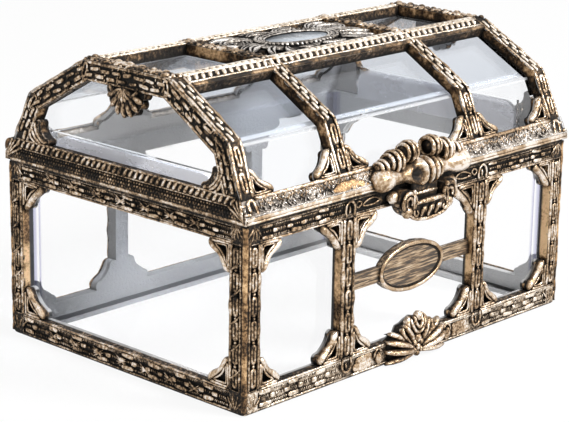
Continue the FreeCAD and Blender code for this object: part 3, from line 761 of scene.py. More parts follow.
def middlePost(bm, place, u):
    low, high, loop = wall["postLow"], wall["postHigh"], wall["postLoop"]
    chainPost(bm, place, u, low, high, postLink)
    for side in (-1, 1):
        wavyEdge(bm, place, u + side * wall["edgeHalf"], low, high, wall["edgeWide"])
    stroke(bm, [(u + x, y, 0.1, 0.36) for x, y in loop], place=place)
    stroke(bm, [(u + x, wall["loopSum"] - y, 0.1, 0.36) for x, y in loop[::-1]], place=place)
    for v in wall["loopBeads"]:
        stamp(bm, bead, place @ spot(u, v, -0.2, 90, (2.4, 0.7, 0.9)))


def cornerPost(bm, place, half, side, leafy):
    low, high = wall["postLow"], wall["postHigh"]
    mid = side * (half - wall["cornerMid"])
    inset, thin = wall["cornerLine"]
    chainPost(bm, place, mid, low, high, thinLink)
    wavyEdge(bm, place, side * (half - wall["windowEdge"] + 0.62), low, high, wall["edgeWide"])
    wavyEdge(bm, place, side * (half - inset), low, high, thin)
    for v, tall in wall["fans"]:
        leafFan(bm, place, mid, v, tall)
    for v in wall["blades"] if leafy else ():
        blade = [(mid - 1.9, v, 0.1, 0.12), (mid - 0.2, v + 1.1, 0.25, 0.34), (mid + 1.9, v + 3.2, 0.1, 0.1)]
        stroke(bm, blade, 0.8, 6, place=place)


def tiedSheaf(bm, place, u, v):
    for turn in (-1.0, -0.4, 0.3, 1.0):
        blade = [(u - 1.8, v - 1.3 * turn, 0.1, 0.12), (u, v - 0.2 * turn, 0.2, 0.26),
                 (u + 1.8, v + 1.1 * turn, 0.1, 0.12)]
        stroke(bm, blade, 0.8, 6, place=place)


def spans(edge, posts, gap):
    # stretches between the posts
    ends = [-edge] + [p + d for p in posts for d in (-gap, gap)] + [edge]
    return list(zip(ends[::2], ends[1::2]))


def wallRelief(side, place, half, posts=(), plainMiddle=False):
    leafy = not posts
    edge = half - wall["windowEdge"]
    bm, rails, uprights, leaves = (bmesh.new() for k in range(4))
    for k, (u0, u1) in enumerate(spans(edge + 0.4, posts, wall["railGap"])):
        for line in wall["lowLines"]:
            evenLine(rails, place, u0, u1, *line)
        evenLine(bm, place, u0, u1, *wall["topLine"])
        if not (plainMiddle and k == 1):
            weaveBand(rails, place, u0, u1, wall["lowRows"])
            weaveBand(bm, place, u0, u1, wall["topRows"])
    for u in posts:
        middlePost(uprights, place, u)
    for hand in (-1, 1):
        cornerPost(uprights, place, half, hand, leafy)
    for v in wall["sheafUp"] if leafy else ():
        for u in wall["sheafAt"]:
            tiedSheaf(bm, place, u, v)
    for k, (u0, u1) in enumerate(spans(edge, posts, wall["postGap"])):
        grow = wall["topGrow"] if plainMiddle and k == 1 else 1.0
        windowBrackets(leaves, place, u0, u1, *wall["window"], topGrow=grow)
    # the end walls get the darker rail paint as painted shade
    addPiece(side + "_rail", rails, "base", gold["shaded_end_relief" if leafy else "pale_relief"])
    addPiece(side + "_posts", uprights, "base", gold[side + "_post_gold"])
    addPiece(side + "_brackets", leaves, "base", gold[side + "_leaf_gold"])
    addPiece(side + "_relief", bm, "base", gold[side + "_relief_gold"])


wallRelief("front", frontFace, chest["baseX"], basePosts, plainMiddle=True)
wallRelief("back", halfTurn @ frontFace, chest["baseX"], basePosts)
wallRelief("left", leftFace, chest["baseY"])
wallRelief("right", halfTurn @ leftFace, chest["baseY"])

# uneven beading up the four corners
corner = {"low": 0.8, "tall": 47.5, "beads": 24, "inset": 0.6, "wide": 0.74}


def cornerBeads():
    bm = bmesh.new()
    count, inset = corner["beads"], corner["inset"]
    for turned in bothSides:
        for side in (-1, 1):
            path = []
            for k in range(count + 1):
                v = corner["low"] + corner["tall"] * k / count
                wide = corner["wide"] * dice.uniform(0.82, 1.14)
                path.append((side * (chest["baseX"] - inset), v, -inset, wide))
            stroke(bm, path, 1.0, 10, place=turned @ frontFace)
    addPiece("corner_beading", bm, "base", gold["copper_gold"])


cornerBeads()
print("base walls dressed")

# lid: flecked rim, ribs with dashes and links, rope and bead rows on the ends
lid = {
    "rimTop": 6.28, "rimEnd": 5.0, "rimLine": 0.58, "ribHalf": 1.92, "ribWide": 0.48, "endRib": 2.3,
    "ribFoot": 54.8, "dashPitch": 4.0, "braidPitch": 2.45, "railHalf": 58.0, "braidHalf": 57.0,
    "topLines": (-15.0, -13.3),
    "topBricks": 2.3, "berryPitch": 2.2, "berryHalf": 15.4,
    "windowUp": 5.8, "windowEdge": 4.6, "windowTop": 20.0, "bracketSize": (1.0, 0.91, 0.88),
    "flecks": (("rim_gold_flecks", "rim_gold", 3.5, 5.5, 210),
               ("rim_silver_flecks", "rim_silver", 2.3, 4.6, 260)),
    "fleckEnd": 5.6, "strips": ((64.4, 50.15, 0.52, 0.62, 0.35), (64.6, 49.4, 0.6, 0.34, 0.8))}


def lipOut(v):
    # the upright lip stands out from the leaning front
    return 0.28 + 0.354 * v if v < 2.17 else max(0.0, 1.07 * (3.14 - v))


def rimFront(bm, place):
    half = chest["footX"] - lid["rimEnd"]
    evenLine(bm, place, -half, half, lid["rimTop"] - 0.4, 0.0, lid["rimLine"])
    for side in (-1, 1):
        stamp(bm, ringLink, place @ spot(side * (half + 1.7), 3.5, 0.35, 82 * side, (1.12, 1.35, 1.2)))
        for v, long in ((2.3, 2.0), (4.6, 1.6)):
            size = (long, 0.6, 0.6)
            stamp(bm, brick, place @ spot(side * (half + 4.2), v, lipOut(v) - 0.25, 8 * side, size))


def rimFlecks():
    # slanting flecks over the rubbed rim, gold above and silver below, front and back
    half = chest["footX"] - lid["fleckEnd"]
    for name, paint, low, high, count in lid["flecks"]:
        bm = bmesh.new()
        for turned in bothSides:
            for k in range(count):
                u = half * (2 * (k + dice.random()) / count - 1)
                v = dice.uniform(low, high)
                lean = dice.uniform(38, 66) * (1 if k % 2 else -1)
                size = (dice.uniform(1.1, 2.2), dice.uniform(0.26, 0.44), 0.5)
                stamp(bm, tick, turned @ steepFace @ spot(u, v, lipOut(v) - 0.24, lean, size))
        addPiece(name, bm, "lid", gold[paint])


def ribEdges(bm, place, u, v0, v1, lean):
    for side in (-1, 1):
        wavyEdge(bm, place, u + side * lid["ribHalf"], v0, v1, lid["ribWide"], lean)


def ribDashes(bm, place, u, v0, v1, lean):
    # two staggered rows
    for row, shift in ((-0.62, 0.0), (0.62, 0.5)):
        v = v0 + 1.0 + shift * lid["dashPitch"]
        while v < v1 - 1.0:
            size = (2.9 * dice.uniform(0.85, 1.1), 0.85, 0.95)
            turn = 90 + dice.uniform(-4, 4)
            stamp(bm, brick, place @ spot(u + lean * (v - v0) + row, v, -0.5, turn, size))
            v += lid["dashPitch"]


def braid(bm, place, u0, u1, v, size, turn, out, pitch):
    u = u0
    while u <= u1:
        stamp(bm, bead, place @ spot(u, v, out, turn, size))
        u += pitch


def berryVine(bm, place, u, v0, v1):
    # wavy stem with berries of many sizes in its bends
    path = []
    count = round((v1 - v0) / lid["berryPitch"])
    for k in range(count + 1):
        v = v0 + (v1 - v0) * k / count
        side = 1 if k % 2 else -1
        path.append((u + 0.7 * side, v, -0.1, 0.7 * dice.uniform(0.8, 1.2)))
        for reach, rise, wide in ((-1.2, 0.0, 2.0), (1.5, 0.5, 1.2), (-0.2, 0.9, 1.3)):
            wide *= dice.uniform(0.8, 1.2)
            up = v + rise * dice.uniform(0.6, 1.2)
            size = (wide, wide * 1.25, wide * 0.85)
            stamp(bm, bead, place @ spot(u + reach * side, up, -0.05, 20 * side, size))
    stroke(bm, path, 1.0, 6, place=place)


def endRibLine(z, side):
    return side * (chest["footX"] - chest["lean"] * (z - chest["seam"]) - lid["endRib"])


def coverRibs(bm, pale, steep, slope):
    # chains up the steep part, dashes on the slope
    ribs = [(u, u, u) for u in basePosts]
    for side in (-1, 1):
        ribs.append([endRibLine(z, side) for z in (lid["ribFoot"], chest["bendZ"], chest["topZ"])])
    for foot, bend, top in ribs:
        low, high = lid["rimTop"], steepLong - 0.2
        lean = (bend - foot) / (high - low)
        ribEdges(bm, steep, foot, low, high, lean)
        chainPost(bm, steep, foot, low + 0.6, high - 0.6, postLink, lean)
        low, high = 0.2, slopeLong - 0.5
        lean = (top - bend) / (high - low)
        ribEdges(bm, slope, bend, low, high, lean)
        ribDashes(pale, slope, bend, low, high, lean)


def topRails(bm, slope, top):
    half, pitch = lid["railHalf"], lid["braidPitch"]
    reach, size = lid["braidHalf"], (2.4, 1.32, 1.25)
    braid(bm, slope, -reach, reach, slopeLong - 1.3, size, 62, 0.0, pitch)
    for v in (slopeLong - 2.55, slopeLong - 0.1):
        evenLine(bm, slope, -half, half, v, 0.0, 0.32)
    for v in lid["topLines"]:
        evenLine(bm, top, -half, half, v, -0.05, 0.38)
    for k in range(-25, 26):
        turn = dice.uniform(-4, 4)
        stamp(bm, brick, top @ spot(k * lid["topBricks"], -14.15, -0.2, turn, (1.4, 1.4, 0.55)))


def coverRelief():
    bm = bmesh.new()
    pale = bmesh.new()
    edge = chest["footX"] - chest["lean"] * lid["windowUp"] - lid["windowEdge"]
    for turned in bothSides:
        steep, slope, top = (turned @ face for face in (steepFace, slopeFace, topFace))
        rimFront(bm, steep)
        coverRibs(bm, pale, steep, slope)
        topRails(pale, slope, top)
        for u0, u1 in spans(edge, basePosts, wall["postGap"]):
            windowBrackets(bm, steep, u0, u1, lid["rimTop"], lid["windowTop"], lid["bracketSize"],
                           lowOnly=True)
    addPiece("cover_relief", bm, "lid", gold["cover_relief_gold"])
    addPiece("cover_braids", pale, "lid", gold["braid_pale"])
    vines = bmesh.new()
    for u in (*basePosts, endRibLine(chest["topZ"], -1), endRibLine(chest["topZ"], 1)):
        berryVine(vines, topFace, u, -lid["berryHalf"], lid["berryHalf"])
    addPiece("berry_vines", vines, "lid", gold["berry_gold"])


def coverSmooth():
    # smooth strips along the top rails and the lip, and the rubbed patch beside the catch
    bm = bmesh.new()
    for turned in bothSides:
        for half, v, out, wide, tall in lid["strips"]:
            evenLine(bm, turned @ frontFace, -half, half, v, out, wide, tall, 8)
    addPiece("cover_strips", bm, "lid", gold["smooth_gold"])
    bm = bmesh.new()
    ragged = [(-34.0, 1.4, 0.75, 0.2)]
    for k in range(14):
        grow = math.sin((k + 1.6) / 15.5 * math.pi) ** 0.7
        wide = 1.5 * grow * dice.uniform(0.72, 1.15)
        ragged.append((-33.2 + 1.0 * k, 1.7 + 1.25 * grow, 0.75 - 0.35 * grow, wide))
    stroke(bm, ragged + [(-18.9, 2.4, 0.4, 0.4)], 0.42, 10, place=steepFace)
    addPiece("rubbed_patch", bm, "lid", gold["worn_gold"])
    bm = bmesh.new()
    half = lid["railHalf"]
    for turned in bothSides:
        evenLine(bm, turned @ slopeFace, -half, half, slopeLong - 3.5, -0.05, 0.7, 0.6, 8)
    addPiece("rail_strips", bm, "lid", gold["dark_strip"])


coverRelief()
rimFlecks()
coverSmooth()


def fluteUnit():
    # leaf of three flutes in the corner of the end window, curling over at the rail
    bm = bmesh.new()
    for points in ([(6.6, 0.5, -1.0, 0.6), (5.0, 1.2, -0.9, 0.66), (3.3, 2.7, -0.8, 0.6),
                    (2.3, 4.7, -0.8, 0.62), (1.9, 6.6, -0.9, 0.7), (1.5, 7.3, -1.0, 0.3)],
                   [(5.4, 0.3, -0.5, 0.4), (3.8, 1.1, -0.35, 0.52), (2.3, 2.5, -0.3, 0.5),
                    (1.3, 4.4, -0.3, 0.5), (0.8, 6.2, -0.4, 0.4)],
                   [(3.4, 0.3, -0.3, 0.3), (2.0, 1.1, -0.15, 0.46), (1.0, 2.4, -0.1, 0.44),
                    (0.4, 4.2, -0.2, 0.34)]):
        stroke(bm, points, 1.3)
    stamp(bm, bead, spot(6.5, 0.9, -1.0, 0, (2.0, 1.7, 2.4)))
    return keepUnit("flute", bm)


# lid ends: the arch line runs along the middle of the end bars, across and up from the seam
fluteBracket = fluteUnit()
lidEnd = {
    "arch": [(38.87, 7.0), (34.67, 17.2), (14.99, 28.5)],
    "dashPitch": 4.3, "dashRows": ((-0.95, 0.0), (0.75, 0.5)),
    "topBar": (14.5, 28.4), "topDashes": 7, "topRows": ((-0.85, 0.0), (0.85, 0.5)), "barHalf": 2.15,
    "ropePitch": 2.0, "ropeHalf": 40.0, "ropeUp": 5.0,
    "lines": ((41.0, 6.05, 0.0, 0.34, 0.8), (42.5, 3.75, 0.0, 0.26, 0.8), (44.3, 0.5, 0.15, 0.5, 0.7)),
    "slope": 0.4152, "flute": (5.85, 5.82), "fanFoot": (44.2, 0.9),
    "cornerFan": ((38.4, 3.9), (39.7, 5.2), (41.1, 5.7), (42.3, 5.9)),
    "drape": [(-5.2, 26.0), (-3.2, 24.6), (0.0, 24.1), (3.2, 24.6), (5.2, 26.0)],
    "petals": 7, "petalMid": 26.2, "tiers": ((6.9, -0.2, 0.92), (3.6, 0.5, 0.6)),
    "stipple": ((1.45, 0.0, 0.33), (2.25, 0.5, 0.2805), (3.05, 0.0, 0.0165)),
    "stippleHalf": 42.5, "stipplePitch": 1.0}


def barDashes(bm, place, a, b, count, rows):
    # staggered dashes and small flecks between two points
    run = b - a
    turn = math.degrees(math.atan2(run.y, run.x))
    across = Vector((-run.y, run.x)).normalized()
    for row, shift in rows:
        for k in range(count):
            p = a + run * ((k + 0.3 + shift) / (count + 0.1)) + across * (row + dice.uniform(-0.12, 0.12))
            size = (3.2 * dice.uniform(0.8, 1.15), 0.95 * dice.uniform(0.8, 1.15), 0.8)
            stamp(bm, brick, place @ spot(p.x, p.y, -0.2, turn + dice.uniform(-9, 9), size))
    for k in range(count * 6):
        p = a + run * dice.random() + across * dice.uniform(-2.1, 2.1)
        slant = turn + dice.uniform(20, 160)
        stamp(bm, brick, place @ spot(p.x, p.y, -0.12, slant, (dice.uniform(0.6, 1.3), 0.34, 0.42)))
    for row in (-lidEnd["barHalf"], lidEnd["barHalf"]):
        line = []
        for k in range(13):
            p = a + run * (k / 12) + across * row
            line.append((p.x, p.y, -0.1, 0.42 * dice.uniform(0.6, 1.25)))
        stroke(bm, line, 0.9, 6, 2, place=place)


def endBars(bm, place, hand):
    arch = lidEnd["arch"]
    for (u0, v0), (u1, v1) in zip(arch, arch[1:]):
        a, b = Vector((hand * u0, v0)), Vector((hand * u1, v1))
        barDashes(bm, place, a, b, round((b - a).length / lidEnd["dashPitch"]), lidEnd["dashRows"])
    for (u, v), turn in zip(arch[1:], (50, 75)):
        turn = 180 - turn if hand > 0 else turn
        stamp(bm, ringLink, place @ spot(hand * u, v, 0.1, turn, (0.95, 0.8, 1.0)))
    inset, up = lidEnd["flute"]
    edge = chest["footY"] - lidEnd["slope"] * lid["windowUp"] - inset
    stamp(bm, fluteBracket, place @ spot(hand * edge, up, 0, 0, (-hand, *lid["bracketSize"][1:])))
    foot, low = lidEnd["fanFoot"]
    for u, v in lidEnd["cornerFan"]:
        blade = [(hand * foot, low, 0.45, 0.2), (hand * (u + foot) / 2, v / 2 + 0.5, 0.4, 0.4),
                 (hand * u, v, 0.2, 0.3)]
        stroke(bm, blade, 1.0, 6, place=place)


def hangingPetals(bm, place):
    # a drape and two tiers of petals under the top bar
    stroke(bm, [(u, v, 0.35, 0.5) for u, v in lidEnd["drape"]], place=place)
    for k in range(lidEnd["petals"]):
        a = math.radians(203 + 22.3 * k)
        for reach, out, wide in lidEnd["tiers"]:
            petal = []
            for r, h, w in ((0.1, 0.2, 0.4), (0.45, 0.25, 0.7), (0.8, 0.1, 1.0), (1.0, -0.3, 0.45)):
                up = lidEnd["petalMid"] + math.sin(a) * reach * r * 1.1
                petal.append((math.cos(a) * reach * r, up, out + h, wide * w))
            stroke(bm, petal, steps=2, place=place)


def lidEndRelief(side, turned):
    bm = bmesh.new()
    place = turned @ lidEndFace
    half, pitch = lidEnd["ropeHalf"], lidEnd["ropePitch"]
    braid(bm, place, -half, half, lidEnd["ropeUp"], (2.9, 1.15, 1.3), 56, 0.0, pitch)
    for half, v, out, wide, tall in lidEnd["lines"]:
        evenLine(bm, place, -half, half, v, out, wide, tall)
    for hand in (-1, 1):
        endBars(bm, place, hand)
    u, v = lidEnd["topBar"]
    barDashes(bm, place, Vector((-u, v)), Vector((u, v)), lidEnd["topDashes"], lidEnd["topRows"])
    hangingPetals(bm, place)
    addPiece("lid_" + side + "_relief", bm, "lid", gold[side + "_relief_gold"])
    dots = bmesh.new()
    half, pitch = lidEnd["stippleHalf"], lidEnd["stipplePitch"]
    for v, shift, out in lidEnd["stipple"]:
        braid(dots, place, -half + shift, half, v, (0.95, 0.8, 0.8), 0, out, pitch)
    addPiece("lid_" + side + "_stipple", dots, "lid", gold["dark_relief"])


lidEndRelief("left", Matrix())
lidEndRelief("right", halfTurn)
print("lid dressed")

# catch: a turned roll with three bands and a dimple, ribbed shells behind it, a tongue below
catch = {
    "axisUp": 51.3, "axisOut": 0.8,
    "dimple": {"middle": -3.7, "reach": 2.7, "angle": 46.0, "tip": 4.0, "depth": 1.7},
    "core": ((-0.9, 1.5, 4.6), 2.65), "bar": ((-17.5, -9, 0, 9, 17.5), 1.7),
    "tongue": {"wide": 10.0, "top": 51.0, "low": 42.7, "mid": 1.9, "thick": 1.2},
    "tongueLine": [(-4.5, 45.9, 2.35, 0.36), (0, 46.1, 2.5, 0.55), (4.5, 45.9, 2.35, 0.36)],
    "shells": [{"up": 56.9, "out": -0.4,
                "core": [(3.7, 2.1), (5.0, 2.3), (6.3, 1.9), (7.1, 1.2), (7.3, 0.3)],
                "hoops": [(3.3, 2.45, 0.56), (4.8, 2.65, 0.54), (6.4, 2.2, 0.5)]},
               {"up": 55.1, "out": -0.6,
                "core": [(9.2, 2.2), (10.4, 2.4), (11.9, 1.9), (12.9, 1.1), (13.1, 0.3)],
                "hoops": [(8.8, 2.65, 0.58), (10.5, 2.75, 0.56), (12.2, 2.15, 0.52)]},
               {"up": 54.2, "out": -0.3,
                "core": [(14.8, 1.5), (15.8, 1.6), (16.8, 1.0), (17.1, 0.3)],
                "hoops": [(14.5, 1.95, 0.55), (16.1, 1.6, 0.5)]}],
    "roll": [(-19.2, 0.5), (-18.6, 1.8), (-17.2, 2.75), (-15.4, 2.95), (-13.4, 2.6), (-11.2, 1.9),
             (-9.0, 1.6), (-7.2, 1.85), (-5.4, 2.55), (-3.6, 3.25), (-2.2, 3.65), (-1.3, 3.8), (-0.7, 3.1),
             (-0.3, 2.1), (0.3, 2.1), (0.7, 3.2), (1.15, 3.9), (1.6, 3.2), (2.0, 2.1), (2.5, 2.1),
             (2.9, 3.1), (3.3, 3.75), (3.7, 3.0), (4.1, 2.1), (4.6, 2.1), (5.0, 2.8), (5.6, 3.0), (6.4, 2.5),
             (7.6, 2.0), (9.2, 1.8), (11.0, 2.1), (13.2, 2.7), (15.4, 2.95), (17.2, 2.7), (18.6, 1.75),
             (19.2, 0.5)]}


def hoop(bm, u, up, out, reach, thick):
    # ring about the line of the catch
    work = bmesh.new()
    spun(work, Matrix.Translation((u, up + reach, out)), 8, thick, (u, up, out), (1, 0, 0), 24)
    pour(bm, work, frontFace)


def claspRoll():
    bm = bmesh.new()
    up, out, dimple = catch["axisUp"], catch["axisOut"], catch["dimple"]
    stroke(bm, [(u, up, out, r) for u, r in catch["roll"]], 1.0, 40, 5)
    for v in bm.verts:
        along = (v.co.x - dimple["middle"]) / dimple["reach"]
        about = (math.degrees(math.atan2(v.co.y - up, v.co.z - out)) - dimple["tip"]) / dimple["angle"]
        near = 1 - along * along - about * about
        if near > 0:
            inward = Vector((0, up - v.co.y, out - v.co.z)).normalized()
            v.co += inward * dimple["depth"] * min(1.0, near * 1.8)
    bmesh.ops.transform(bm, matrix=frontFace, verts=bm.verts)
    roll = addPiece("clasp_roll", bm, "lid", gold["roll_gold"])
    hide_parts("lid_clasp")


def claspShells():
    bm = bmesh.new()
    shells = bmesh.new()
    up, out, tongue = catch["axisUp"], catch["axisOut"], catch["tongue"]
    (across, thick), (length, wide) = catch["core"], catch["bar"]
    stroke(bm, [(u, up, out, thick) for u in across], 1.0, 16, 2, place=frontFace)
    stroke(bm, [(u, up + 0.9, -1.0, wide) for u in length], 1.0, 10, 2, place=frontFace)
    tall = tongue["top"] - tongue["low"]
    size = (tongue["wide"], tall, tongue["thick"])
    blade = spot(0, tongue["low"] + tall / 2, tongue["mid"] - tongue["thick"] / 2, 0, size)
    stamp(bm, brick, frontFace @ blade)
    stroke(shells, catch["tongueLine"], 0.8, steps=4, place=frontFace)
    for shell in catch["shells"]:
        up, out = shell["up"], shell["out"]
        for side in (-1, 1):
            stroke(bm, [(side * u, up, out, r) for u, r in shell["core"]], 1.0, 16, place=frontFace)
            for u, reach, thick in shell["hoops"]:
                hoop(shells, side * u, up, out, reach, thick)
    addPiece("clasp_core", bm, "lid", gold["dark_relief"])
    addPiece("clasp_shells", shells, "lid", gold["shell_gold"])


claspRoll()
claspShells()

# lock: lip bar, beaded posts beside the slot, nested scrolls and a fluted half moon
lock = {
    "face": 4.15, "lip": 44.15, "lipHalf": 5.9, "post": 6.75,
    "flutes": (-3.4, -0.4, 2.6), "ball": (11.7, 46.2),
    "rim": [(-8.4, 42.6), (-8.0, 41.5), (-6.2, 40.2), (-3.4, 39.5), (0, 39.2), (3.4, 39.5), (6.2, 40.2),
            (8.0, 41.5), (8.4, 42.6)],
    "scroll": (8.2, 44.6), "scrollReach": (2.5, 1.3), "scrollTurn": (-0.7, 0.0, 0.8, 1.57, 2.4, 3.2, 3.9),
    "curl": [(1.0, 42.6, 0.36), (0.97, 41.3, 0.38), (0.84, 40.8, 0.38), (0.75, 41.5, 0.36),
             (0.83, 42.1, 0.3)],
    "leaves": ([(15.6, 46.4), (17.8, 47.3), (20.4, 46.9), (22.0, 45.9), (19.6, 45.5), (17.2, 45.7)],
               [(22.4, 46.6), (23.6, 47.3), (24.6, 46.6), (23.8, 45.6)])}


def lockMoon(bm):
    face, lip, half = lock["face"], lock["lip"], lock["lipHalf"]
    bar = [(-half, lip, face, 0.45), (0, lip + 0.1, face + 0.2, 0.68), (half, lip, face, 0.45)]
    stroke(bm, bar, steps=4, place=frontFace)
    stroke(bm, [(u, v, face - 0.3, 0.55) for u, v in lock["rim"]], place=frontFace)
    for u in lock["flutes"]:  # hooked over at the top
        low = 39.9 + abs(u) * 0.1
        flute = [(u - 0.6, low, face - 0.1, 0.36), (u - 0.2, 41.3, face + 0.2, 0.5),
                 (u + 0.1, 42.3, face + 0.4, 0.6), (u + 1.0, 42.5, face + 0.3, 0.52),
                 (u + 1.3, 41.6, face + 0.1, 0.3)]
        stroke(bm, flute, place=frontFace)


def lockSide(bm, side):
    face = lock["face"]
    post = side * lock["post"]
    bar = [(post, 41.8, face, 0.3), (post * 1.01, 44.4, face + 0.15, 0.38), (post * 0.98, 46.8, face, 0.34)]
    stroke(bm, bar, place=frontFace)
    stamp(bm, bead, frontFace @ spot(post * 0.98, 47.3, face, 0, (1.4, 1.4, 1.3)))
    mid, up = lock["scroll"]
    for reach in lock["scrollReach"]:
        out = face - 0.5 + 0.12 * reach
        path = [(side * (mid + reach * math.cos(a)), up + 1.05 * reach * math.sin(a), out, 0.5)
                for a in lock["scrollTurn"]]
        stroke(bm, path, place=frontFace)
    stamp(bm, bead, frontFace @ spot(side * mid, up - 2.6, face - 0.9, 0, (4.0, 3.4, 2.4)))
    stroke(bm, [(post * u, v, face + 0.1, h) for u, v, h in lock["curl"]], place=frontFace)
    u, v = lock["ball"]
    stamp(bm, bead, frontFace @ spot(side * u, v, 1.2, 0, (4.0, 3.4, 3.2)))
    for leaf in lock["leaves"]:
        stroke(bm, [(side * x, y, -0.1, 0.24) for x, y in leaf], 1.0, 6, closed=True, place=frontFace)


def lockRelief():
    bm = bmesh.new()
    lockMoon(bm)
    for side in (-1, 1):
        lockSide(bm, side)
    addPiece("lock_relief", bm, "base", gold["relief_gold"])


lockRelief()

# palmette: leaves and beads on a plate at the foot of the front, rubbed bricks beside it
shellLeaf = {
    "plateLow": -2.2, "plateHigh": 0.6,
    "outline": [(0, 11.0), (2.0, 10.4), (4.0, 9.6), (5.6, 9.3), (6.7, 7.6), (8.0, 7.2), (9.8, 7.8),
                (10.4, 6.4), (11.2, 6.0), (10.6, 4.0), (10.2, 0.8)],
    "leaves": [[(1.5, 1.7, 1.5, 0.42), (5.0, 1.4, 1.6, 0.76), (8.8, 0.9, 1.2, 0.72), (12.0, 0.6, 0.6, 0.35)],
               [(1.6, 2.2, 1.6, 0.45), (5.2, 2.9, 2.0, 0.88), (9.2, 3.5, 1.6, 0.84), (12.3, 4.0, 0.7, 0.4)],
               [(1.8, 3.2, 1.5, 0.45), (5.2, 4.6, 1.8, 0.86), (8.8, 5.8, 1.4, 0.82), (11.7, 6.5, 0.5, 0.4)],
               [(1.9, 4.5, 1.2, 0.42), (2.7, 6.4, 1.6, 0.66), (3.9, 8.4, 1.3, 0.68), (5.1, 9.7, 0.7, 0.55)],
               [(2.4, 4.3, 1.1, 0.36), (4.3, 5.8, 1.5, 0.5), (5.8, 7.5, 1.3, 0.52), (5.9, 9.1, 0.7, 0.48)],
               [(3.6, 4.6, 0.6, 0.4), (6.6, 6.7, 0.8, 0.76), (8.6, 7.9, 0.4, 0.78), (10.1, 8.4, -0.2, 0.4)],
               [(0.0, 7.0, 1.6, 0.45), (1.5, 7.9, 1.7, 0.5), (2.4, 9.5, 1.4, 0.5), (2.7, 11.0, 0.9, 0.4)],
               [(0.0, 8.4, 1.9, 0.4), (0.9, 9.2, 1.9, 0.42), (1.4, 10.6, 1.5, 0.38), (1.5, 11.6, 1.1, 0.3)],
               [(2.5, 6.9, 0.8, 0.4), (3.5, 8.8, 0.8, 0.62), (3.5, 10.4, 0.5, 0.66), (2.6, 11.5, 0.1, 0.45)]],
    "beads": [(0, 1.2, 1.8), (0, 3.1, 2.2), (1.3, 2.1, 1.8), (1.3, 4.3, 2.0), (0, 5.5, 2.5), (0, 11.6, 2.6)],
    "bud": (14.2, 2.9), "curl": [(12.9, 4.4), (14.0, 5.5), (15.4, 4.9), (15.8, 3.4)],
    "bricks": ((19.8, 3.7, (6.6, 2.8, 0.46)), (21.4, 2.2, (5.4, 2.0, 0.5)), (18.6, 1.9, (3.6, 1.5, 0.42)))}


def palmette():
    bm = bmesh.new()
    half = shellLeaf["outline"]
    outline = half + [(-u, v) for u, v in reversed(half[1:])]
    plate(bm, outline, shellLeaf["plateLow"], shellLeaf["plateHigh"], frontFace)
    addPiece("palmette_plate", bm, "base", gold["plate_dark"])
    bm = bmesh.new()
    rubbed = bmesh.new()
    for side in (-1, 1):
        for leaf in shellLeaf["leaves"]:
            stroke(bm, [(side * u, v, w, h) for u, v, w, h in leaf], 1.6, 10, place=frontFace)
        for u, v, wide in shellLeaf["beads"]:
            if u or side > 0:
                stamp(bm, bead, frontFace @ spot(side * u, v, 1.3, 0, (wide, wide * 1.1, wide)))
        u, v = shellLeaf["bud"]
        stamp(bm, bead, frontFace @ spot(side * u, v, 0.0, -15 * side, (2.4, 3.6, 1.9)))
        stroke(bm, [(side * u, v, -0.05, 0.34) for u, v in shellLeaf["curl"]], 1.0, 6, place=frontFace)
        for u, v, size in shellLeaf["bricks"]:
            stamp(rubbed, brick, frontFace @ spot(side * u, v, -0.4, dice.uniform(-5, 5), size))
    addPiece("palmette_rail", rubbed, "base", gold["rim_gold"])
    leaves = addPiece("palmette_leaves", bm, "base", gold["shell_gold"])
    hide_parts("base_shell")


palmette()

# plaque: blank oval on a strap, with a raised rim and a dark groove inside it
plaque = {"mid": 24.9, "oval": (12.9, 6.65), "back": -3.42, "field": -1.55,
          "strap": (24.8, 2.05, -3.38, -1.85),
          "rims": (("plaque_rim", (12.4, 6.15), -1.35, 0.56, "plaque_edge"),
                   ("plaque_groove", (11.55, 5.35), -1.55, 0.3, "hollow_dark"))}


def ovalLine(a, b, count):
    turns = [k * 2 * math.pi / count for k in range(count)]
    return [(a * math.cos(t), b * math.sin(t)) for t in turns]


def plaqueRims():
    for name, oval, out, half, paint in plaque["rims"]:
        bm = bmesh.new()
        path = [(u, plaque["mid"] + v, out, half) for u, v in ovalLine(*oval, 20)]
        stroke(bm, path, 0.8, closed=True, place=frontFace)
        addPiece(name, bm, "base", gold[paint])


def plaqueBody():
    # just clear of the panel behind it
    bm = bmesh.new()
    mid = plaque["mid"]
    u, v, low, high = plaque["strap"]
    oval = [(x, mid + y) for x, y in ovalLine(*plaque["oval"], 64)]
    plate(bm, oval, plaque["back"], plaque["field"], frontFace)
    plate(bm, [(-u, mid - v), (u, mid - v), (u, mid + v), (-u, mid + v)], low, high, frontFace)
    body = addPiece("plaque_body", bm, "base", plaqueGold)
    for face in body.data.polygons:
        face.use_smooth = False
    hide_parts("name_plaque")


plaqueRims()
plaqueBody()

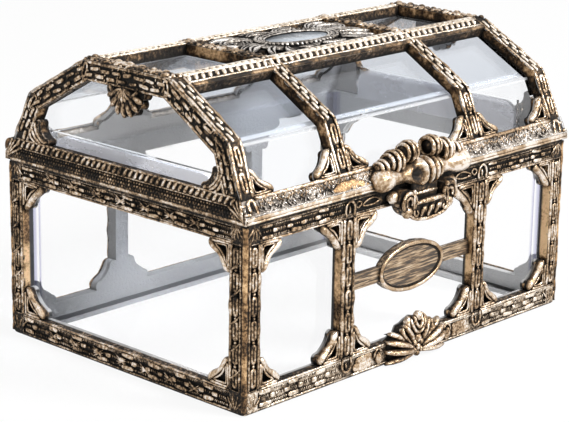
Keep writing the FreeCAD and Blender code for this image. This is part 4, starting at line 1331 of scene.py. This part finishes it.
# medallion: beaded oval border round a plain field, scroll leaves about it
crest = {
    "lines": (((12.85, 7.35), 0.3), ((11.4, 5.9), 0.32)), "beadPitch": 1.3,
    "beads": (((13.7, 8.2), (1.15, 1.15, 1.1)), ((12.15, 6.65), (1.45, 0.75, 0.9))),
    "field": (11.7, 6.2), "fieldOut": -0.2, "bed": -3.1, "arcs": ((15.2, 9.7), (16.3, 10.8), (17.4, 11.9)),
    "sprays": [[(12.9, -2.0, 0.5), (16.4, -1.9, 1.1), (20.2, -3.2, 1.2), (23.2, -5.8, 0.5)],
               [(12.3, -4.6, 0.4), (15.2, -5.6, 1.0), (18.0, -7.8, 1.1), (19.8, -10.6, 0.5)],
               [(10.6, -6.6, 0.4), (12.4, -8.4, 0.8), (13.6, -10.6, 0.9), (13.4, -12.2, 0.4)],
               [(13.3, 0.6, 0.4), (17.0, 0.4, 0.9), (20.6, -0.6, 0.9), (23.4, -2.2, 0.4)],
               [(12.6, 3.8, 0.6), (15.6, 7.4, 0.9), (19.6, 8.0, 1.0), (22.6, 5.6, 0.9), (21.8, 2.6, 0.8),
                (18.8, 2.0, 0.7), (17.4, 4.0, 0.6), (18.8, 5.2, 0.4)],
               [(11.4, 6.4, 0.4), (14.6, 9.8, 0.9), (18.8, 11.4, 0.9), (22.6, 10.6, 0.4)],
               [(1.0, 8.8, 0.4), (4.0, 10.2, 0.9), (7.4, 10.4, 0.9), (9.8, 9.2, 0.4)],
               [(0.9, 8.5, 0.4), (2.6, 11.0, 0.7), (6.2, 12.3, 0.7), (10.0, 11.8, 0.4)],
               [(0.6, -8.8, 0.4), (3.6, -10.4, 0.9), (7.0, -10.6, 0.8), (9.0, -9.4, 0.4)]]}


def sprayRidge(bm, spray, side, shift):
    line = []
    for k, (u, v, h) in enumerate(spray):
        ahead, behind = spray[min(k + 1, len(spray) - 1)], spray[max(k - 1, 0)]
        across = Vector((behind[1] - ahead[1], ahead[0] - behind[0])).normalized() * h * shift
        line.append((side * (u + across.x), v + across.y, -0.3, h * 0.38))
    stroke(bm, line, 1.4, place=topFace)


def medallion():
    bm = bmesh.new()
    for oval, half in crest["lines"]:
        path = [(u, v, 0.0, half) for u, v in ovalLine(*oval, 20)]
        stroke(bm, path, 1.0, 6, closed=True, place=topFace)
    for (a, b), size in crest["beads"]:
        for u, v in ovalLine(a, b, round(math.pi * (a + b) / crest["beadPitch"])):
            turn = math.degrees(math.atan2(v / b / b, u / a / a)) + 40
            stamp(bm, bead, topFace @ spot(u, v, -0.05, turn, size))
    for side in (-1, 1):
        for spray in crest["sprays"]:
            for shift in (-0.55, 0.55):  # two ridges with a groove between
                sprayRidge(bm, spray, side, shift)
        for a, b in crest["arcs"]:
            turns = (-0.7, -0.35, 0.0, 0.35, 0.7)
            arc = [(side * a * math.cos(t), b * math.sin(t), -0.4, 0.34) for t in turns]
            stroke(bm, arc, 1.0, 6, place=topFace)
    addPiece("medallion_border", bm, "lid", gold["crest_silver"])
    bm = bmesh.new()
    plate(bm, ovalLine(*crest["field"], 48), crest["bed"], crest["fieldOut"], topFace)
    addPiece("medallion_field", bm, "lid", fieldGrey)


medallion()
print("catch, lock, palmette, plaque and medallion made")

# finishes on the moulded parts
for name, material in finish.items():
    nodes[name].data.materials.clear()
    nodes[name].data.materials.append(material)

# pale floor, soft light and camera
studio = {"worldLight": 0.6, "floorHalf": 6.0, "floorGrey": 0.82, "floorShine": 0.9,
          "target": (0.0, 0.0, 0.04),
          "lamps": (("key", 14.0, 0.3, (0.3, -0.8, 0.75)), ("fill", 1.0, 0.8, (-0.9, -0.3, 0.5))),
          "lens": 126.4, "roll": 0.99, "turn": -46.9, "rise": 15.9, "eye": (-0.3914, -0.3629, 0.1829)}
white = (1.0, 1.0, 1.0, 1.0)


def seenRays(tree):
    # what is seen straight, mirrored or through the panes
    rays = tree.nodes.new("ShaderNodeLightPath")
    seen = sums(tree, "MAXIMUM", rays.outputs["Is Camera Ray"], rays.outputs["Is Glossy Ray"])
    return sums(tree, "MAXIMUM", seen, rays.outputs["Is Transmission Ray"])


def paleFloor():
    bm = bmesh.new()
    bmesh.ops.create_grid(bm, x_segments=1, y_segments=1, size=studio["floorHalf"])
    mesh = bpy.data.meshes.new("floor")
    bm.to_mesh(mesh)
    bm.free()
    floor = bpy.data.objects.new("floor", mesh)
    scene.collection.objects.link(floor)
    made, tree, shader = newMaterial("pale_floor")
    shader.inputs["Base Color"].default_value = (*(studio["floorGrey"],) * 3, 1.0)
    shader.inputs["Roughness"].default_value = 0.9
    shine = tree.nodes.new("ShaderNodeEmission")
    mixInto(tree, times(tree, seenRays(tree), studio["floorShine"]), shader, shine, "Material Output")
    mesh.materials.append(made)


def softLight(name, power, size, place):
    light = bpy.data.lights.new(name, "AREA")
    light.energy = power
    light.size = size
    lamp = bpy.data.objects.new(name, light)
    scene.collection.objects.link(lamp)
    lamp.location = place
    lamp.rotation_euler = (Vector(studio["target"]) - Vector(place)).to_track_quat("-Z", "Y").to_euler()


def paleWorld():
    world = bpy.data.worlds.new("pale_room")
    scene.world = world
    world.use_nodes = True
    tree = world.node_tree
    light = tree.nodes["Background"]
    light.inputs["Strength"].default_value = studio["worldLight"]
    light.inputs["Color"].default_value = white
    backdrop = tree.nodes.new("ShaderNodeBackground")
    backdrop.inputs["Color"].default_value = white
    mixInto(tree, seenRays(tree), light, backdrop, "World Output")


def photoCamera():
    lens = bpy.data.cameras.new("camera")
    lens.lens = studio["lens"]
    lens.sensor_width = 36.0
    lens.clip_start = 0.01
    camera = bpy.data.objects.new("camera", lens)
    scene.collection.objects.link(camera)
    turn, rise, roll = (math.radians(studio[k]) for k in ("turn", "rise", "roll"))
    back = Vector((math.sin(turn) * math.cos(rise), -math.cos(turn) * math.cos(rise), math.sin(rise)))
    right = Vector((math.cos(turn), math.sin(turn), 0.0))
    up = back.cross(right)
    tilted = right * math.cos(roll) + up * math.sin(roll)
    upright = up * math.cos(roll) - right * math.sin(roll)
    facing = Matrix((tilted, upright, back)).transposed().to_4x4()
    camera.matrix_world = Matrix.Translation(studio["eye"]) @ facing
    scene.camera = camera


paleFloor()
paleWorld()
for lamp in studio["lamps"]:
    softLight(*lamp)
photoCamera()
scene.view_settings.view_transform = "Standard"
print("scene ready")
